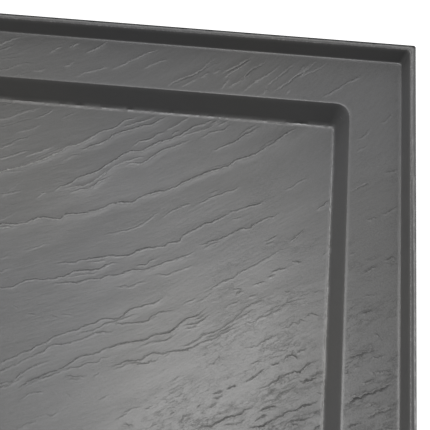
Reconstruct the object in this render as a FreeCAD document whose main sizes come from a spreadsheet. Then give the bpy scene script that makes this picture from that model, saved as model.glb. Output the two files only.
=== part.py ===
"""Rectangular stone-resin shower tray with an upstand, a stepped basin, a 90 mm waste and six levelling legs.

The frame is +X along the tray's length, +Y towards its back wall and +Z up. The origin is the middle of
the footprint on the floor that the six feet stand on. All lengths are millimetres.
"""

import FreeCAD, Part

import math
import os
import re

import Sketcher

# Driving dimensions. Each is written once, here, and goes into one cell of the sheet.
SIZES = {
    # Tray body, seen from above: outline, upstand, shelf and stepped basin
    "tray_length": 1200.0,
    "tray_width": 800.0,
    "outer_corner": 2.5,
    "upstand_height": 24.0,
    "rim_top_width": 5.5,
    "rim_foot_width": 8.0,
    "rim_corner": 4.5,
    "shelf_corner": 2.5,
    "shelf_width": 55.0,
    "basin_corner": 15.0,
    "basin_foot_corner": 5.0,
    "step_depth": 40.0,
    "step_run": 9.0,
    "floor_fall": 8.0,
    "edge_round": 1.2,
    # Tray body, seen from below: slab, skirt, channel under the shelf and its ribs
    "slab_thickness": 22.0,
    "skirt_wall": 12.0,
    "shelf_thickness": 14.0,
    "step_wall": 20.0,
    "channel_corner": 6.0,
    "rib_thickness": 8.0,
    "long_rib_count": 7.0,
    "long_rib_span": 960.0,
    "short_rib_count": 5.0,
    "short_rib_span": 560.0,
    # Waste hole, cover recess and the thick boss around the hole
    "waste_hole_radius": 45.0,
    "recess_radius": 63.0,
    "recess_depth": 12.0,
    "recess_straight": 2.0,
    "boss_radius": 75.0,
    "boss_drop": 8.0,
    # Clamping flange, its two seals and four countersunk screws
    "flange_radius": 56.0,
    "flange_thickness": 3.0,
    "flange_seal_thickness": 1.5,
    "flange_seal_overlap": 9.0,
    "collar_bore": 33.0,
    "collar_wall": 2.5,
    "flange_screw_circle": 40.0,
    "flange_screw_radius": 2.5,
    "flange_screw_head": 4.6,
    "flange_screw_sink": 2.1,
    "flange_screw_length": 30.0,
    "trap_seal_thickness": 2.0,
    "trap_seal_overlap": 11.0,
    # Cover plate and the carrier that it is pressed on
    "cover_radius": 58.0,
    "cover_thickness": 2.0,
    "cover_round": 0.8,
    "carrier_radius": 51.0,
    "carrier_ring_width": 6.0,
    "carrier_thickness": 2.0,
    "carrier_arm_width": 6.0,
    "carrier_boss_wall": 3.5,
    "carrier_boss_length": 9.0,
    "carrier_foot_width": 8.0,
    # Hair strainer
    "strainer_height": 17.0,
    "strainer_wall": 1.6,
    "strainer_floor": 2.0,
    "strainer_hole_radius": 3.0,
    "strainer_inner_circle": 13.5,
    "strainer_inner_count": 9.0,
    "strainer_outer_circle": 23.5,
    "strainer_outer_count": 16.0,
    "post_radius": 5.0,
    # Trap bowl
    "trap_depth": 103.0,
    "trap_wall": 3.0,
    "bowl_radius": 49.0,
    "trap_rim_radius": 57.0,
    "trap_rim_thickness": 8.0,
    "neck_depth": 10.0,
    "neck_bore": 30.5,
    "neck_length": 8.0,
    "bowl_chamfer": 8.0,
    # Dip tube that lifts out of the bowl, with its ring seal
    "dip_rim_thickness": 3.0,
    "dip_plug_length": 6.0,
    "dip_wall": 2.0,
    "dip_tube_bore": 22.0,
    "dip_end_gap": 9.0,
    "ring_seal_radius": 1.5,
    # Outlet for a 40 mm waste pipe, with its compression nut
    "outlet_drop": 28.0,
    "outlet_reach": 95.0,
    "outlet_way_radius": 18.0,
    "pipe_radius": 20.0,
    "socket_depth": 30.0,
    "outlet_thread_radius": 24.0,
    "outlet_seal_length": 5.0,
    "slip_ring_thickness": 2.0,
    "outlet_nut_radius": 29.0,
    "outlet_nut_length": 26.0,
    "outlet_nut_end": 4.0,
    "outlet_nut_grooves": 12.0,
    "outlet_groove_radius": 2.0,
    # Levelling legs: the layout, the socket plate and its four screws
    "leg_height": 120.0,
    "leg_spread_long": 940.0,
    "leg_spread_short": 540.0,
    "plate_side": 78.0,
    "plate_corner": 8.0,
    "plate_thickness": 5.0,
    "sleeve_radius": 13.0,
    "sleeve_length": 32.0,
    "gusset_thickness": 4.0,
    "gusset_reach": 20.0,
    "gusset_height": 20.0,
    "leg_screw_spacing": 54.0,
    "leg_screw_radius": 2.4,
    "leg_screw_length": 16.0,
    "leg_screw_head": 4.6,
    "leg_screw_head_height": 2.6,
    # Levelling legs: the threaded spindle, its lock nut and the foot that it turns in
    "spindle_radius": 6.0,
    "spindle_top_gap": 2.0,
    "spindle_chamfer": 1.0,
    "hexagon_flats": 17.0,
    "hexagon_height": 8.0,
    "pin_radius": 5.0,
    "pin_length": 10.0,
    "lock_nut_flats": 19.0,
    "lock_nut_height": 8.0,
    "foot_radius": 30.0,
    "foot_edge": 6.0,
    "foot_edge_chamfer": 3.0,
    "foot_hub_radius": 14.0,
    "foot_hub_height": 16.0,
    "foot_hub_flare": 3.0,
    # Clearances, each measured on the radius
    "thread_clearance": 0.08,
    "running_clearance": 0.05,
    "slip_clearance": 0.3,
    "pipe_clearance": 0.2,
    "screw_hole_clearance": 0.3,
}

# Heights above the floor, worked out upwards and downwards from the tray's underside.
UNDERSIDE = "leg_height"
FLOOR_EDGE = f"({UNDERSIDE} + slab_thickness)"
SHELF_TOP = f"({FLOOR_EDGE} + step_depth)"
RIM_TOP = f"({SHELF_TOP} + upstand_height)"
DRAIN_EDGE = f"({FLOOR_EDGE} - floor_fall)"
WASTE_SEAT = f"({DRAIN_EDGE} - recess_depth)"
BOSS_BOTTOM = f"({UNDERSIDE} - boss_drop)"
FLANGE_BOTTOM = f"({WASTE_SEAT} + flange_seal_thickness)"
FLANGE_TOP = f"({FLANGE_BOTTOM} + flange_thickness)"
TRAP_TOP = f"({BOSS_BOTTOM} - trap_seal_thickness)"
DIP_SEAT = f"({TRAP_TOP} - neck_depth)"
DIP_TOP = f"({DIP_SEAT} + dip_rim_thickness)"
NECK_BOTTOM = f"({DIP_SEAT} - neck_length)"
TRAP_BOTTOM = f"({TRAP_TOP} - trap_depth)"
BOWL_FLOOR = f"({TRAP_BOTTOM} + trap_wall)"
DIP_END = f"({BOWL_FLOOR} + dip_end_gap)"
OUTLET_AXIS = f"({TRAP_TOP} - outlet_drop)"
COVER_BOTTOM = f"({DRAIN_EDGE} - cover_thickness)"
CARRIER_BOTTOM = f"({COVER_BOTTOM} - carrier_thickness)"
POST_TOP = f"({CARRIER_BOTTOM})"
PLATE_BOTTOM = f"({UNDERSIDE} - plate_thickness)"
SLEEVE_BOTTOM = f"({PLATE_BOTTOM} - sleeve_length)"

# Radii that follow from a fit with the neighbouring piece.
COLLAR_OUTER = "(collar_bore + collar_wall)"
DIP_RIM = "(collar_bore - slip_clearance)"
DIP_PLUG = "(neck_bore - slip_clearance)"
GROOVE_FLOOR = "(neck_bore - running_clearance - 2 * ring_seal_radius)"
PIPE_SOCKET = "(pipe_radius + pipe_clearance)"

LEG_PLACES = {
    "front_left": (-1, -1),
    "front_middle": (0, -1),
    "front_right": (1, -1),
    "back_left": (-1, 1),
    "back_middle": (0, 1),
    "back_right": (1, 1),
}
QUARTER_SIGNS = ((-1, -1), (1, -1), (1, 1), (-1, 1))
SCREW_TURN = "45"
SCREW_COUNT = "4"
ARM_COUNT = "4"
GUSSET_COUNT = "4"
FULL_TURN = 360.0

document = FreeCAD.newDocument("shower_tray")


def make_sheet():
    """Put every driving dimension into one cell of the sheet, with its name as the cell's alias."""
    sheet = document.addObject("Spreadsheet::Sheet", "Sizes")
    for row, (name, value) in enumerate(SIZES.items(), start=1):
        sheet.set(f"A{row}", name)
        sheet.set(f"B{row}", str(value))
        sheet.setAlias(f"B{row}", name)
    document.recompute()
    return sheet


sheet = make_sheet()


def named(text):
    """The same expression with each size's name pointing at its cell in the sheet."""
    def cell(match):
        word = match.group(0)
        return f"Sizes.{word}" if word in SIZES else word

    return re.sub(r"[a-z_]+", cell, text)


def value_of(text):
    """The number that an expression of the sizes gives now."""
    return float(sheet.evalExpression(named(text)))


def bind(thing, prop, text):
    """Tie one property of an object to an expression of the sizes."""
    thing.setExpression(prop, named(text))


# Bodies and sketches ---------------------------------------------------------------------------------


def new_body(label):
    """A body whose label is the sub-part's name."""
    body = document.addObject("PartDesign::Body", label)
    body.Label = label
    return body


def place(body, across="0", along="0", level="0"):
    """Tie a body's place to expressions of the sizes."""
    for letter, text in zip("xyz", (across, along, level)):
        bind(body, f"Placement.Base.{letter}", text)


def origin_part(body, role):
    """The plane or axis of a body's own origin that has this role."""
    return next(item for item in body.Origin.OriginFeatures if item.Role == role)


def new_sketch(body, name, role="XY_Plane", level="0"):
    """An empty sketch on one of the body's origin planes, shifted along that plane's normal."""
    sketch = body.newObject("Sketcher::SketchObject", name)
    sketch.AttachmentSupport = [(origin_part(body, role), "")]
    sketch.MapMode = "FlatFace"
    bind(sketch, "AttachmentOffset.Base.z", level)
    return sketch


def fix_point(sketch, geometry, point, across, along):
    """Hold one point of a sketch at a place given by two expressions of the sizes."""
    for kind, axis, text in (("DistanceX", -2, across), ("DistanceY", -1, along)):
        if text == "0":
            sketch.addConstraint(Sketcher.Constraint("PointOnObject", geometry, point, axis))
            continue
        index = sketch.addConstraint(Sketcher.Constraint(kind, -1, 1, geometry, point, value_of(text)))
        bind(sketch, f"Constraints[{index}]", text)


def draw_polygon(sketch, points):
    """A closed outline of straight lines through points that are pairs of expressions."""
    corners = [FreeCAD.Vector(value_of(across), value_of(along), 0) for across, along in points]
    count = len(points)
    first = sketch.GeometryCount
    for index in range(count):
        sketch.addGeometry(Part.LineSegment(corners[index], corners[(index + 1) % count]), False)
    for index in range(count):
        following = first + (index + 1) % count
        sketch.addConstraint(Sketcher.Constraint("Coincident", first + index, 2, following, 1))
    for index, (across, along) in enumerate(points):
        fix_point(sketch, first + index, 1, across, along)


def draw_circle(sketch, radius, across="0", along="0"):
    """A circle whose radius and centre are expressions."""
    centre = FreeCAD.Vector(value_of(across), value_of(along), 0)
    circle = sketch.addGeometry(Part.Circle(centre, FreeCAD.Vector(0, 0, 1), value_of(radius)), False)
    index = sketch.addConstraint(Sketcher.Constraint("Radius", circle, value_of(radius)))
    bind(sketch, f"Constraints[{index}]", radius)
    fix_point(sketch, circle, 3, across, along)


def draw_rounded_rectangle(sketch, half_length, half_width, corner):
    """A rectangle about the origin with round corners, all three sizes being expressions."""
    half_x = value_of(half_length)
    half_y = value_of(half_width)
    radius = value_of(corner)
    first = sketch.GeometryCount
    for quarter, (side_x, side_y) in enumerate(QUARTER_SIGNS):
        centre = FreeCAD.Vector(side_x * (half_x - radius), side_y * (half_y - radius), 0)
        circle = Part.Circle(centre, FreeCAD.Vector(0, 0, 1), radius)
        start = math.pi + quarter * math.pi / 2
        arc = sketch.addGeometry(Part.ArcOfCircle(circle, start, start + math.pi / 2), False)
        index = sketch.addConstraint(Sketcher.Constraint("Radius", arc, radius))
        bind(sketch, f"Constraints[{index}]", corner)
        fix_point(
            sketch, arc, 3, f"{side_x} * ({half_length} - {corner})", f"{side_y} * ({half_width} - {corner})"
        )
    for quarter in range(4):
        arc = first + quarter
        following = first + (quarter + 1) % 4
        start = sketch.getPoint(arc, 2)
        end = sketch.getPoint(following, 1)
        line = sketch.addGeometry(Part.LineSegment(start, end), False)
        sketch.addConstraint(Sketcher.Constraint("Tangent", arc, 2, line, 1))
        sketch.addConstraint(Sketcher.Constraint("Tangent", line, 2, following, 1))


def draw_hexagon(sketch, flats):
    """A hexagon about the origin with two flats facing along the sketch's second axis."""
    points = [(f"{flats} / sqrt(3) * cos({60 * turn})", f"{flats} / sqrt(3) * sin({60 * turn})") for turn in range(6)]
    draw_polygon(sketch, [(across, "0" if turn % 3 == 0 else along) for turn, (across, along) in enumerate(points)])


# Features --------------------------------------------------------------------------------------------


def pad(body, name, sketch, length, downward=False):
    """Material from a sketch along its normal, or against it."""
    feature = body.newObject("PartDesign::Pad", name)
    feature.Profile = sketch
    feature.Reversed = downward
    bind(feature, "Length", length)
    return feature


def pocket(body, name, sketch, depth, upward=False):
    """A hole from a sketch against its normal, or along it. The volume has to drop."""
    document.recompute()
    before = body.Shape.Volume
    feature = body.newObject("PartDesign::Pocket", name)
    feature.Profile = sketch
    feature.Reversed = upward
    bind(feature, "Length", depth)
    document.recompute()
    if not body.Shape.Volume < before:
        raise RuntimeError(f"{body.Label}.{name} cuts nothing")
    return feature


def turn_around(body, name, points, kind="PartDesign::Revolution"):
    """A turned shape about the body's upright axis, from (radius, height) points, added or cut away."""
    sketch = new_sketch(body, f"{name}_outline", "XZ_Plane")
    draw_polygon(sketch, points)
    feature = body.newObject(kind, name)
    feature.Profile = sketch
    feature.ReferenceAxis = (sketch, ["V_Axis"])
    feature.Angle = FULL_TURN
    document.recompute()
    return feature


def cut_loft(body, name, upper, lower):
    """A hollow that tapers from one rounded rectangle to another, each given as (level, x, y, corner)."""
    sections = []
    for end, (level, half_length, half_width, corner) in (("upper", upper), ("lower", lower)):
        sketch = new_sketch(body, f"{name}_{end}", level=level)
        draw_rounded_rectangle(sketch, half_length, half_width, corner)
        sections.append(sketch)
    document.recompute()
    before = body.Shape.Volume
    feature = body.newObject("PartDesign::SubtractiveLoft", name)
    feature.Profile = sections[0]
    feature.Sections = sections[1:]
    feature.Ruled = True
    document.recompute()
    if not body.Shape.Volume < before:
        raise RuntimeError(f"{body.Label}.{name} cuts nothing")
    return feature


def repeat_around(body, name, originals, count):
    """Copies of features about the body's upright axis."""
    feature = body.newObject("PartDesign::PolarPattern", name)
    feature.Originals = originals
    feature.Axis = (origin_part(body, "Z_Axis"), [""])
    feature.Angle = FULL_TURN
    bind(feature, "Occurrences", count)
    body.Tip = feature
    document.recompute()
    return feature


def repeat_in_rows(body, name, originals, span, count, gap, axis_roles=("X_Axis", "Y_Axis")):
    """Evenly spaced copies of features along one axis, and the same row again across a gap."""
    feature = body.newObject("PartDesign::LinearPattern", name)
    feature.Originals = originals
    feature.Direction = (origin_part(body, axis_roles[0]), [""])
    feature.Direction2 = (origin_part(body, axis_roles[1]), [""])
    bind(feature, "Length", span)
    bind(feature, "Occurrences", count)
    bind(feature, "Length2", gap)
    feature.Occurrences2 = 2
    body.Tip = feature
    document.recompute()
    return feature


def edges_of(body, wanted):
    """Names of the edges of a body whose bounding box passes the test."""
    return [
        f"Edge{index}" for index, edge in enumerate(body.Shape.Edges, start=1) if wanted(edge.BoundBox)
    ]


def soften(body, name, kind, size_name, size, wanted):
    """A fillet or chamfer on the edges that pass the test."""
    document.recompute()
    base = body.Tip
    feature = body.newObject(kind, name)
    feature.Base = (base, edges_of(body, wanted))
    bind(feature, size_name, size)
    document.recompute()
    return feature


def level_with(text, tolerance=0.01):
    """A test for edges that lie flat at one height."""
    height = value_of(text)
    return lambda box: abs(box.ZMin - height) < tolerance and abs(box.ZMax - height) < tolerance


# Tray ------------------------------------------------------------------------------------------------

SHELF_HALF_LENGTH = "(tray_length / 2 - rim_foot_width)"
SHELF_HALF_WIDTH = "(tray_width / 2 - rim_foot_width)"
BASIN_HALF_LENGTH = f"({SHELF_HALF_LENGTH} - shelf_width)"
BASIN_HALF_WIDTH = f"({SHELF_HALF_WIDTH} - shelf_width)"
FLOOR_HALF_LENGTH = f"({BASIN_HALF_LENGTH} - step_run)"
FLOOR_HALF_WIDTH = f"({BASIN_HALF_WIDTH} - step_run)"


def hollow_basin(body):
    """The upstand's inside, the stepped basin, the floor's fall to the waste and the cover's recess."""
    cut_loft(
        body,
        "upstand_inside",
        (RIM_TOP, "tray_length / 2 - rim_top_width", "tray_width / 2 - rim_top_width", "rim_corner"),
        (SHELF_TOP, SHELF_HALF_LENGTH, SHELF_HALF_WIDTH, "shelf_corner"),
    )
    cut_loft(
        body,
        "basin",
        (SHELF_TOP, BASIN_HALF_LENGTH, BASIN_HALF_WIDTH, "basin_corner"),
        (FLOOR_EDGE, FLOOR_HALF_LENGTH, FLOOR_HALF_WIDTH, "basin_foot_corner"),
    )
    cut_loft(
        body,
        "floor_falls",
        (FLOOR_EDGE, FLOOR_HALF_LENGTH, FLOOR_HALF_WIDTH, "basin_foot_corner"),
        (DRAIN_EDGE, "recess_radius + recess_straight", "recess_radius + recess_straight", "recess_radius"),
    )
    recess = new_sketch(body, "recess_outline", level=DRAIN_EDGE)
    draw_circle(recess, "recess_radius")
    pocket(body, "cover_recess", recess, "recess_depth")


def hollow_underside(body):
    """The channel under the shelf, from the skirt to the step's wall, and the ribs that cross it."""
    outer_x = "(tray_length / 2 - skirt_wall)"
    outer_y = "(tray_width / 2 - skirt_wall)"
    inner_x = f"({FLOOR_HALF_LENGTH} + step_wall)"
    inner_y = f"({FLOOR_HALF_WIDTH} + step_wall)"
    channel = new_sketch(body, "channel_outline", level=UNDERSIDE)
    draw_rounded_rectangle(channel, outer_x, outer_y, "channel_corner")
    draw_rounded_rectangle(channel, inner_x, inner_y, "channel_corner")
    depth = "(slab_thickness + step_depth - shelf_thickness)"
    pocket(body, "channel", channel, depth, upward=True)

    for side, span, inner, outer in (
        ("long", "long_rib_span", inner_y, outer_y),
        ("short", "short_rib_span", inner_x, outer_x),
    ):
        near = f"(-{span} / 2 - rib_thickness / 2)"
        far = f"(-{span} / 2 + rib_thickness / 2)"
        corners = [(near, f"-{outer}"), (far, f"-{outer}"), (far, f"-{inner}"), (near, f"-{inner}")]
        axis_roles = ("X_Axis", "Y_Axis")
        if side == "short":
            corners = [(across, along) for along, across in reversed(corners)]
            axis_roles = ("Y_Axis", "X_Axis")
        rib_outline = new_sketch(body, f"{side}_rib_outline", level=UNDERSIDE)
        draw_polygon(rib_outline, corners)
        rib = pad(body, f"{side}_rib", rib_outline, depth)
        repeat_in_rows(body, f"{side}_ribs", [rib], span, f"{side}_rib_count", f"{inner} + {outer}", axis_roles)


def open_waste(body):
    """The thick boss around the waste and the hole through it."""
    boss = new_sketch(body, "boss_outline", level=BOSS_BOTTOM)
    draw_circle(boss, "boss_radius")
    pad(body, "waste_boss", boss, "boss_drop")
    hole = new_sketch(body, "waste_hole_outline", level=BOSS_BOTTOM)
    draw_circle(hole, "waste_hole_radius")
    pocket(body, "waste_hole", hole, f"{WASTE_SEAT} - {BOSS_BOTTOM}", upward=True)


def leg_screw_places():
    """The four screws of each leg, as pairs of expressions."""
    for side_x, side_y in LEG_PLACES.values():
        for turn_x, turn_y in QUARTER_SIGNS:
            across = f"({side_x} * leg_spread_long / 2 + {turn_x} * leg_screw_spacing / 2)"
            along = f"({side_y} * leg_spread_short / 2 + {turn_y} * leg_screw_spacing / 2)"
            yield across, along


def make_tray():
    """The cast tray: one block with the upstand, shelf, stepped basin and waste hole cut from it."""
    body = new_body("tray_shell")
    outline = new_sketch(body, "outline", level=UNDERSIDE)
    draw_rounded_rectangle(outline, "tray_length / 2", "tray_width / 2", "outer_corner")
    pad(body, "block", outline, "slab_thickness + step_depth + upstand_height")
    document.recompute()
    hollow_basin(body)
    hollow_underside(body)
    open_waste(body)
    pilot_holes = new_sketch(body, "pilot_hole_outline", level=UNDERSIDE)
    for across, along in leg_screw_places():
        draw_circle(pilot_holes, "leg_screw_radius + thread_clearance", across, along)
    pilot_depth = "leg_screw_length - plate_thickness + screw_hole_clearance"
    pocket(body, "pilot_holes", pilot_holes, pilot_depth, upward=True)

    flat_at_rim = level_with(RIM_TOP)
    flat_at_shelf = level_with(SHELF_TOP)
    basin_reach = value_of(BASIN_HALF_LENGTH) + 1.0
    soften(body, "rim_edges", "PartDesign::Fillet", "Radius", "edge_round", flat_at_rim)
    soften(
        body,
        "step_edge",
        "PartDesign::Fillet",
        "Radius",
        "edge_round",
        lambda box: flat_at_shelf(box) and max(abs(box.XMin), abs(box.XMax)) < basin_reach,
    )
    return body


# Waste -----------------------------------------------------------------------------------------------


def turned_body(label, points):
    """A body turned about its upright axis from (radius, height) points."""
    body = new_body(label)
    turn_around(body, "turning", points)
    return body


def ring_points(inner, outer, bottom, top):
    """The section of a plain ring."""
    return [(inner, bottom), (outer, bottom), (outer, top), (inner, top)]


def drill_pattern(body, name, radius, circle, count, level, depth, turn="0"):
    """Round holes upwards from a level, evenly spaced on a circle."""
    outline = new_sketch(body, f"{name}_outline", level=level)
    draw_circle(outline, radius, f"{circle} * cos({turn})", f"{circle} * sin({turn})" if turn != "0" else "0")
    hole = pocket(body, name, outline, depth, upward=True)
    return repeat_around(body, f"{name}_pattern", [hole], count)


COLLAR_BOTTOM = f"({DIP_TOP} + slip_clearance)"


def make_flange():
    """The clamping flange: a flat ring on the tray and a collar down through the hole."""
    body = turned_body(
        "waste_flange",
        [
            ("collar_bore", COLLAR_BOTTOM),
            (COLLAR_OUTER, COLLAR_BOTTOM),
            (COLLAR_OUTER, FLANGE_BOTTOM),
            ("flange_radius", FLANGE_BOTTOM),
            ("flange_radius", FLANGE_TOP),
            ("collar_bore", FLANGE_TOP),
        ],
    )
    clear_hole = "flange_screw_radius + screw_hole_clearance"
    drill_pattern(
        body,
        "screw_hole",
        clear_hole,
        "flange_screw_circle",
        SCREW_COUNT,
        FLANGE_BOTTOM,
        "flange_thickness",
        SCREW_TURN,
    )
    sink = body.newObject("PartDesign::SubtractiveCone", "countersink")
    sink.AttachmentSupport = [(origin_part(body, "XY_Plane"), "")]
    sink.MapMode = "FlatFace"
    bind(sink, "AttachmentOffset.Base.x", f"flange_screw_circle * cos({SCREW_TURN})")
    bind(sink, "AttachmentOffset.Base.y", f"flange_screw_circle * sin({SCREW_TURN})")
    bind(sink, "AttachmentOffset.Base.z", f"{FLANGE_TOP} - flange_screw_sink")
    bind(sink, "Radius1", clear_hole)
    bind(sink, "Radius2", "flange_screw_head + screw_hole_clearance")
    bind(sink, "Height", "flange_screw_sink")
    document.recompute()
    repeat_around(body, "countersinks", [sink], SCREW_COUNT)
    return body


def make_flange_seal():
    """The washer between the flange and the tray's seat."""
    outer = "(waste_hole_radius + flange_seal_overlap)"
    return turned_body("flange_seal", ring_points("waste_hole_radius", outer, WASTE_SEAT, FLANGE_BOTTOM))


def make_trap_seal():
    """The rubber ring between the boss under the tray and the trap's rim."""
    outer = "(waste_hole_radius + trap_seal_overlap)"
    return turned_body("trap_seal", ring_points("waste_hole_radius", outer, TRAP_TOP, BOSS_BOTTOM))


def make_trap():
    """The bowl under the tray, with the neck that carries the dip tube and the outlet to the side."""
    flare = "(trap_rim_radius - bowl_radius)"
    body = turned_body(
        "trap_bowl",
        [
            ("0", TRAP_BOTTOM),
            ("bowl_radius - bowl_chamfer", TRAP_BOTTOM),
            ("bowl_radius", f"{TRAP_BOTTOM} + bowl_chamfer"),
            ("bowl_radius", f"{TRAP_TOP} - trap_rim_thickness - {flare}"),
            ("trap_rim_radius", f"{TRAP_TOP} - trap_rim_thickness"),
            ("trap_rim_radius", TRAP_TOP),
            ("0", TRAP_TOP),
        ],
    )
    spigot = new_sketch(body, "spigot_outline", "YZ_Plane")
    draw_circle(spigot, "outlet_thread_radius", "0", OUTLET_AXIS)
    pad(body, "spigot", spigot, "outlet_reach", downward=True)
    inner = "(bowl_radius - trap_wall)"
    counterbore = f"({COLLAR_OUTER} + slip_clearance)"
    turn_around(
        body,
        "bowl_inside",
        [
            ("0", BOWL_FLOOR),
            (f"{inner} - bowl_chamfer", BOWL_FLOOR),
            (inner, f"{BOWL_FLOOR} + bowl_chamfer"),
            (inner, f"{NECK_BOTTOM} - bowl_chamfer"),
            ("neck_bore", NECK_BOTTOM),
            ("neck_bore", DIP_SEAT),
            (counterbore, DIP_SEAT),
            (counterbore, TRAP_TOP),
            ("0", TRAP_TOP),
        ],
        kind="PartDesign::Groove",
    )
    way_start = f"sqrt({inner} * {inner} - outlet_way_radius * outlet_way_radius)"
    way = new_sketch(body, "outlet_way_outline", "YZ_Plane", level=f"-{way_start}")
    draw_circle(way, "outlet_way_radius", "0", OUTLET_AXIS)
    pocket(body, "outlet_way", way, f"outlet_reach - {way_start}")
    socket = new_sketch(body, "pipe_socket_outline", "YZ_Plane", level="socket_depth - outlet_reach")
    draw_circle(socket, PIPE_SOCKET, "0", OUTLET_AXIS)
    pocket(body, "pipe_socket", socket, "socket_depth")
    hole_depth = f"flange_screw_length + slip_clearance - ({FLANGE_TOP} - {TRAP_TOP})"
    drill_pattern(
        body,
        "screw_socket",
        "flange_screw_radius + thread_clearance",
        "flange_screw_circle",
        SCREW_COUNT,
        f"{TRAP_TOP} - ({hole_depth})",
        hole_depth,
        SCREW_TURN,
    )
    return body


def make_dip_tube():
    """The tube that lifts out of the bowl: a funnel rim on the neck, a grooved plug and the tube itself."""
    plug_bottom = f"({DIP_SEAT} - dip_plug_length)"
    groove_middle = f"({DIP_SEAT} - dip_plug_length / 2)"
    tube_outer = "(dip_tube_bore + dip_wall)"
    return turned_body(
        "dip_tube",
        [
            (f"{DIP_PLUG} - dip_wall", DIP_TOP),
            ("dip_tube_bore", plug_bottom),
            ("dip_tube_bore", DIP_END),
            (tube_outer, DIP_END),
            (tube_outer, plug_bottom),
            (DIP_PLUG, plug_bottom),
            (DIP_PLUG, f"{groove_middle} - ring_seal_radius"),
            (GROOVE_FLOOR, f"{groove_middle} - ring_seal_radius"),
            (GROOVE_FLOOR, f"{groove_middle} + ring_seal_radius"),
            (DIP_PLUG, f"{groove_middle} + ring_seal_radius"),
            (DIP_PLUG, DIP_SEAT),
            (DIP_RIM, DIP_SEAT),
            (DIP_RIM, DIP_TOP),
        ],
    )


def make_dip_seal():
    """The ring seal in the dip tube's groove."""
    ring = document.addObject("Part::Torus", "dip_seal")
    ring.Label = "dip_seal"
    bind(ring, "Radius1", f"{GROOVE_FLOOR} + ring_seal_radius")
    bind(ring, "Radius2", "ring_seal_radius")
    bind(ring, "Placement.Base.z", f"{DIP_SEAT} - dip_plug_length / 2")
    return ring


def make_strainer():
    """The hair strainer: a holed cup on the dip tube's rim, with a post that carries the cover."""
    inside = f"({DIP_RIM} - strainer_wall)"
    floor_top = f"({DIP_TOP} + strainer_floor)"
    body = turned_body(
        "hair_strainer",
        [
            ("0", DIP_TOP),
            (DIP_RIM, DIP_TOP),
            (DIP_RIM, f"{DIP_TOP} + strainer_height"),
            (inside, f"{DIP_TOP} + strainer_height"),
            (inside, floor_top),
            ("post_radius", floor_top),
            ("post_radius", POST_TOP),
            ("0", POST_TOP),
        ],
    )
    for ring in ("inner", "outer"):
        drill_pattern(
            body,
            f"{ring}_hole",
            "strainer_hole_radius",
            f"strainer_{ring}_circle",
            f"strainer_{ring}_count",
            DIP_TOP,
            "strainer_floor",
        )
    return body


def make_cover():
    """The flat round cover plate, level with the floor around it."""
    return turned_body(
        "waste_cover",
        [
            ("0", COVER_BOTTOM),
            ("cover_radius", COVER_BOTTOM),
            ("cover_radius", f"{DRAIN_EDGE} - cover_round"),
            ("cover_radius - cover_round", DRAIN_EDGE),
            ("0", DRAIN_EDGE),
        ],
    )


def make_carrier():
    """The carrier under the cover: a ring, four arms, a cup over the strainer's post and four feet."""
    cup_inner = "(post_radius + slip_clearance)"
    cup_outer = f"({cup_inner} + carrier_boss_wall)"
    ring_inner = "(carrier_radius - carrier_ring_width)"
    body = turned_body("cover_carrier", ring_points(ring_inner, "carrier_radius", CARRIER_BOTTOM, COVER_BOTTOM))
    arm_outline = new_sketch(body, "arm_outline", level=CARRIER_BOTTOM)
    arm_side = "carrier_arm_width / 2"
    draw_polygon(
        arm_outline,
        [
            ("0", f"-{arm_side}"),
            (f"{ring_inner} + carrier_ring_width / 2", f"-{arm_side}"),
            (f"{ring_inner} + carrier_ring_width / 2", arm_side),
            ("0", arm_side),
        ],
    )
    arm = pad(body, "arm", arm_outline, "carrier_thickness")
    repeat_around(body, "arms", [arm], ARM_COUNT)
    turn_around(
        body,
        "cup",
        [
            ("0", CARRIER_BOTTOM),
            (cup_inner, CARRIER_BOTTOM),
            (cup_inner, f"{CARRIER_BOTTOM} - carrier_boss_length"),
            (cup_outer, f"{CARRIER_BOTTOM} - carrier_boss_length"),
            (cup_outer, COVER_BOTTOM),
            ("0", COVER_BOTTOM),
        ],
    )
    foot_outline = new_sketch(body, "foot_outline", level=FLANGE_TOP)
    foot_side = "carrier_foot_width / 2"
    foot_outer = "sqrt(carrier_radius * carrier_radius - carrier_foot_width * carrier_foot_width / 4)"
    draw_polygon(
        foot_outline,
        [
            (ring_inner, f"-{foot_side}"),
            (foot_outer, f"-{foot_side}"),
            (foot_outer, foot_side),
            (ring_inner, foot_side),
        ],
    )
    foot = pad(body, "foot", foot_outline, f"{CARRIER_BOTTOM} - {FLANGE_TOP}")
    repeat_around(body, "feet", [foot], ARM_COUNT)
    return body


# Outlet, turned about the outlet's axis with each body's own +Z pointing out along -X ----------------

SLIP_RING_TOP = "(outlet_seal_length + slip_ring_thickness)"
NUT_TOP = f"({SLIP_RING_TOP} + outlet_nut_end)"


def face_outlet(body):
    """Turn a body to point out of the outlet and put its origin in the mouth of the spigot."""
    body.Placement.Rotation = FreeCAD.Rotation(FreeCAD.Vector(0, 1, 0), -90)
    place(body, across="-outlet_reach", level=OUTLET_AXIS)
    return body


def make_outlet_seal():
    """The tapered rubber ring that grips the waste pipe."""
    body = turned_body(
        "outlet_seal",
        [
            (PIPE_SOCKET, "0"),
            ("outlet_thread_radius - slip_clearance", "0"),
            ("outlet_thread_radius - slip_clearance", "outlet_seal_length / 2"),
            (f"({PIPE_SOCKET} + outlet_thread_radius) / 2", "outlet_seal_length"),
            (PIPE_SOCKET, "outlet_seal_length"),
        ],
    )
    return face_outlet(body)


def make_slip_ring():
    """The hard ring that keeps the turning nut off the seal."""
    outer = "(outlet_thread_radius - running_clearance)"
    inner = f"({PIPE_SOCKET} + slip_clearance)"
    return face_outlet(turned_body("slip_ring", ring_points(inner, outer, "outlet_seal_length", SLIP_RING_TOP)))


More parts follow.
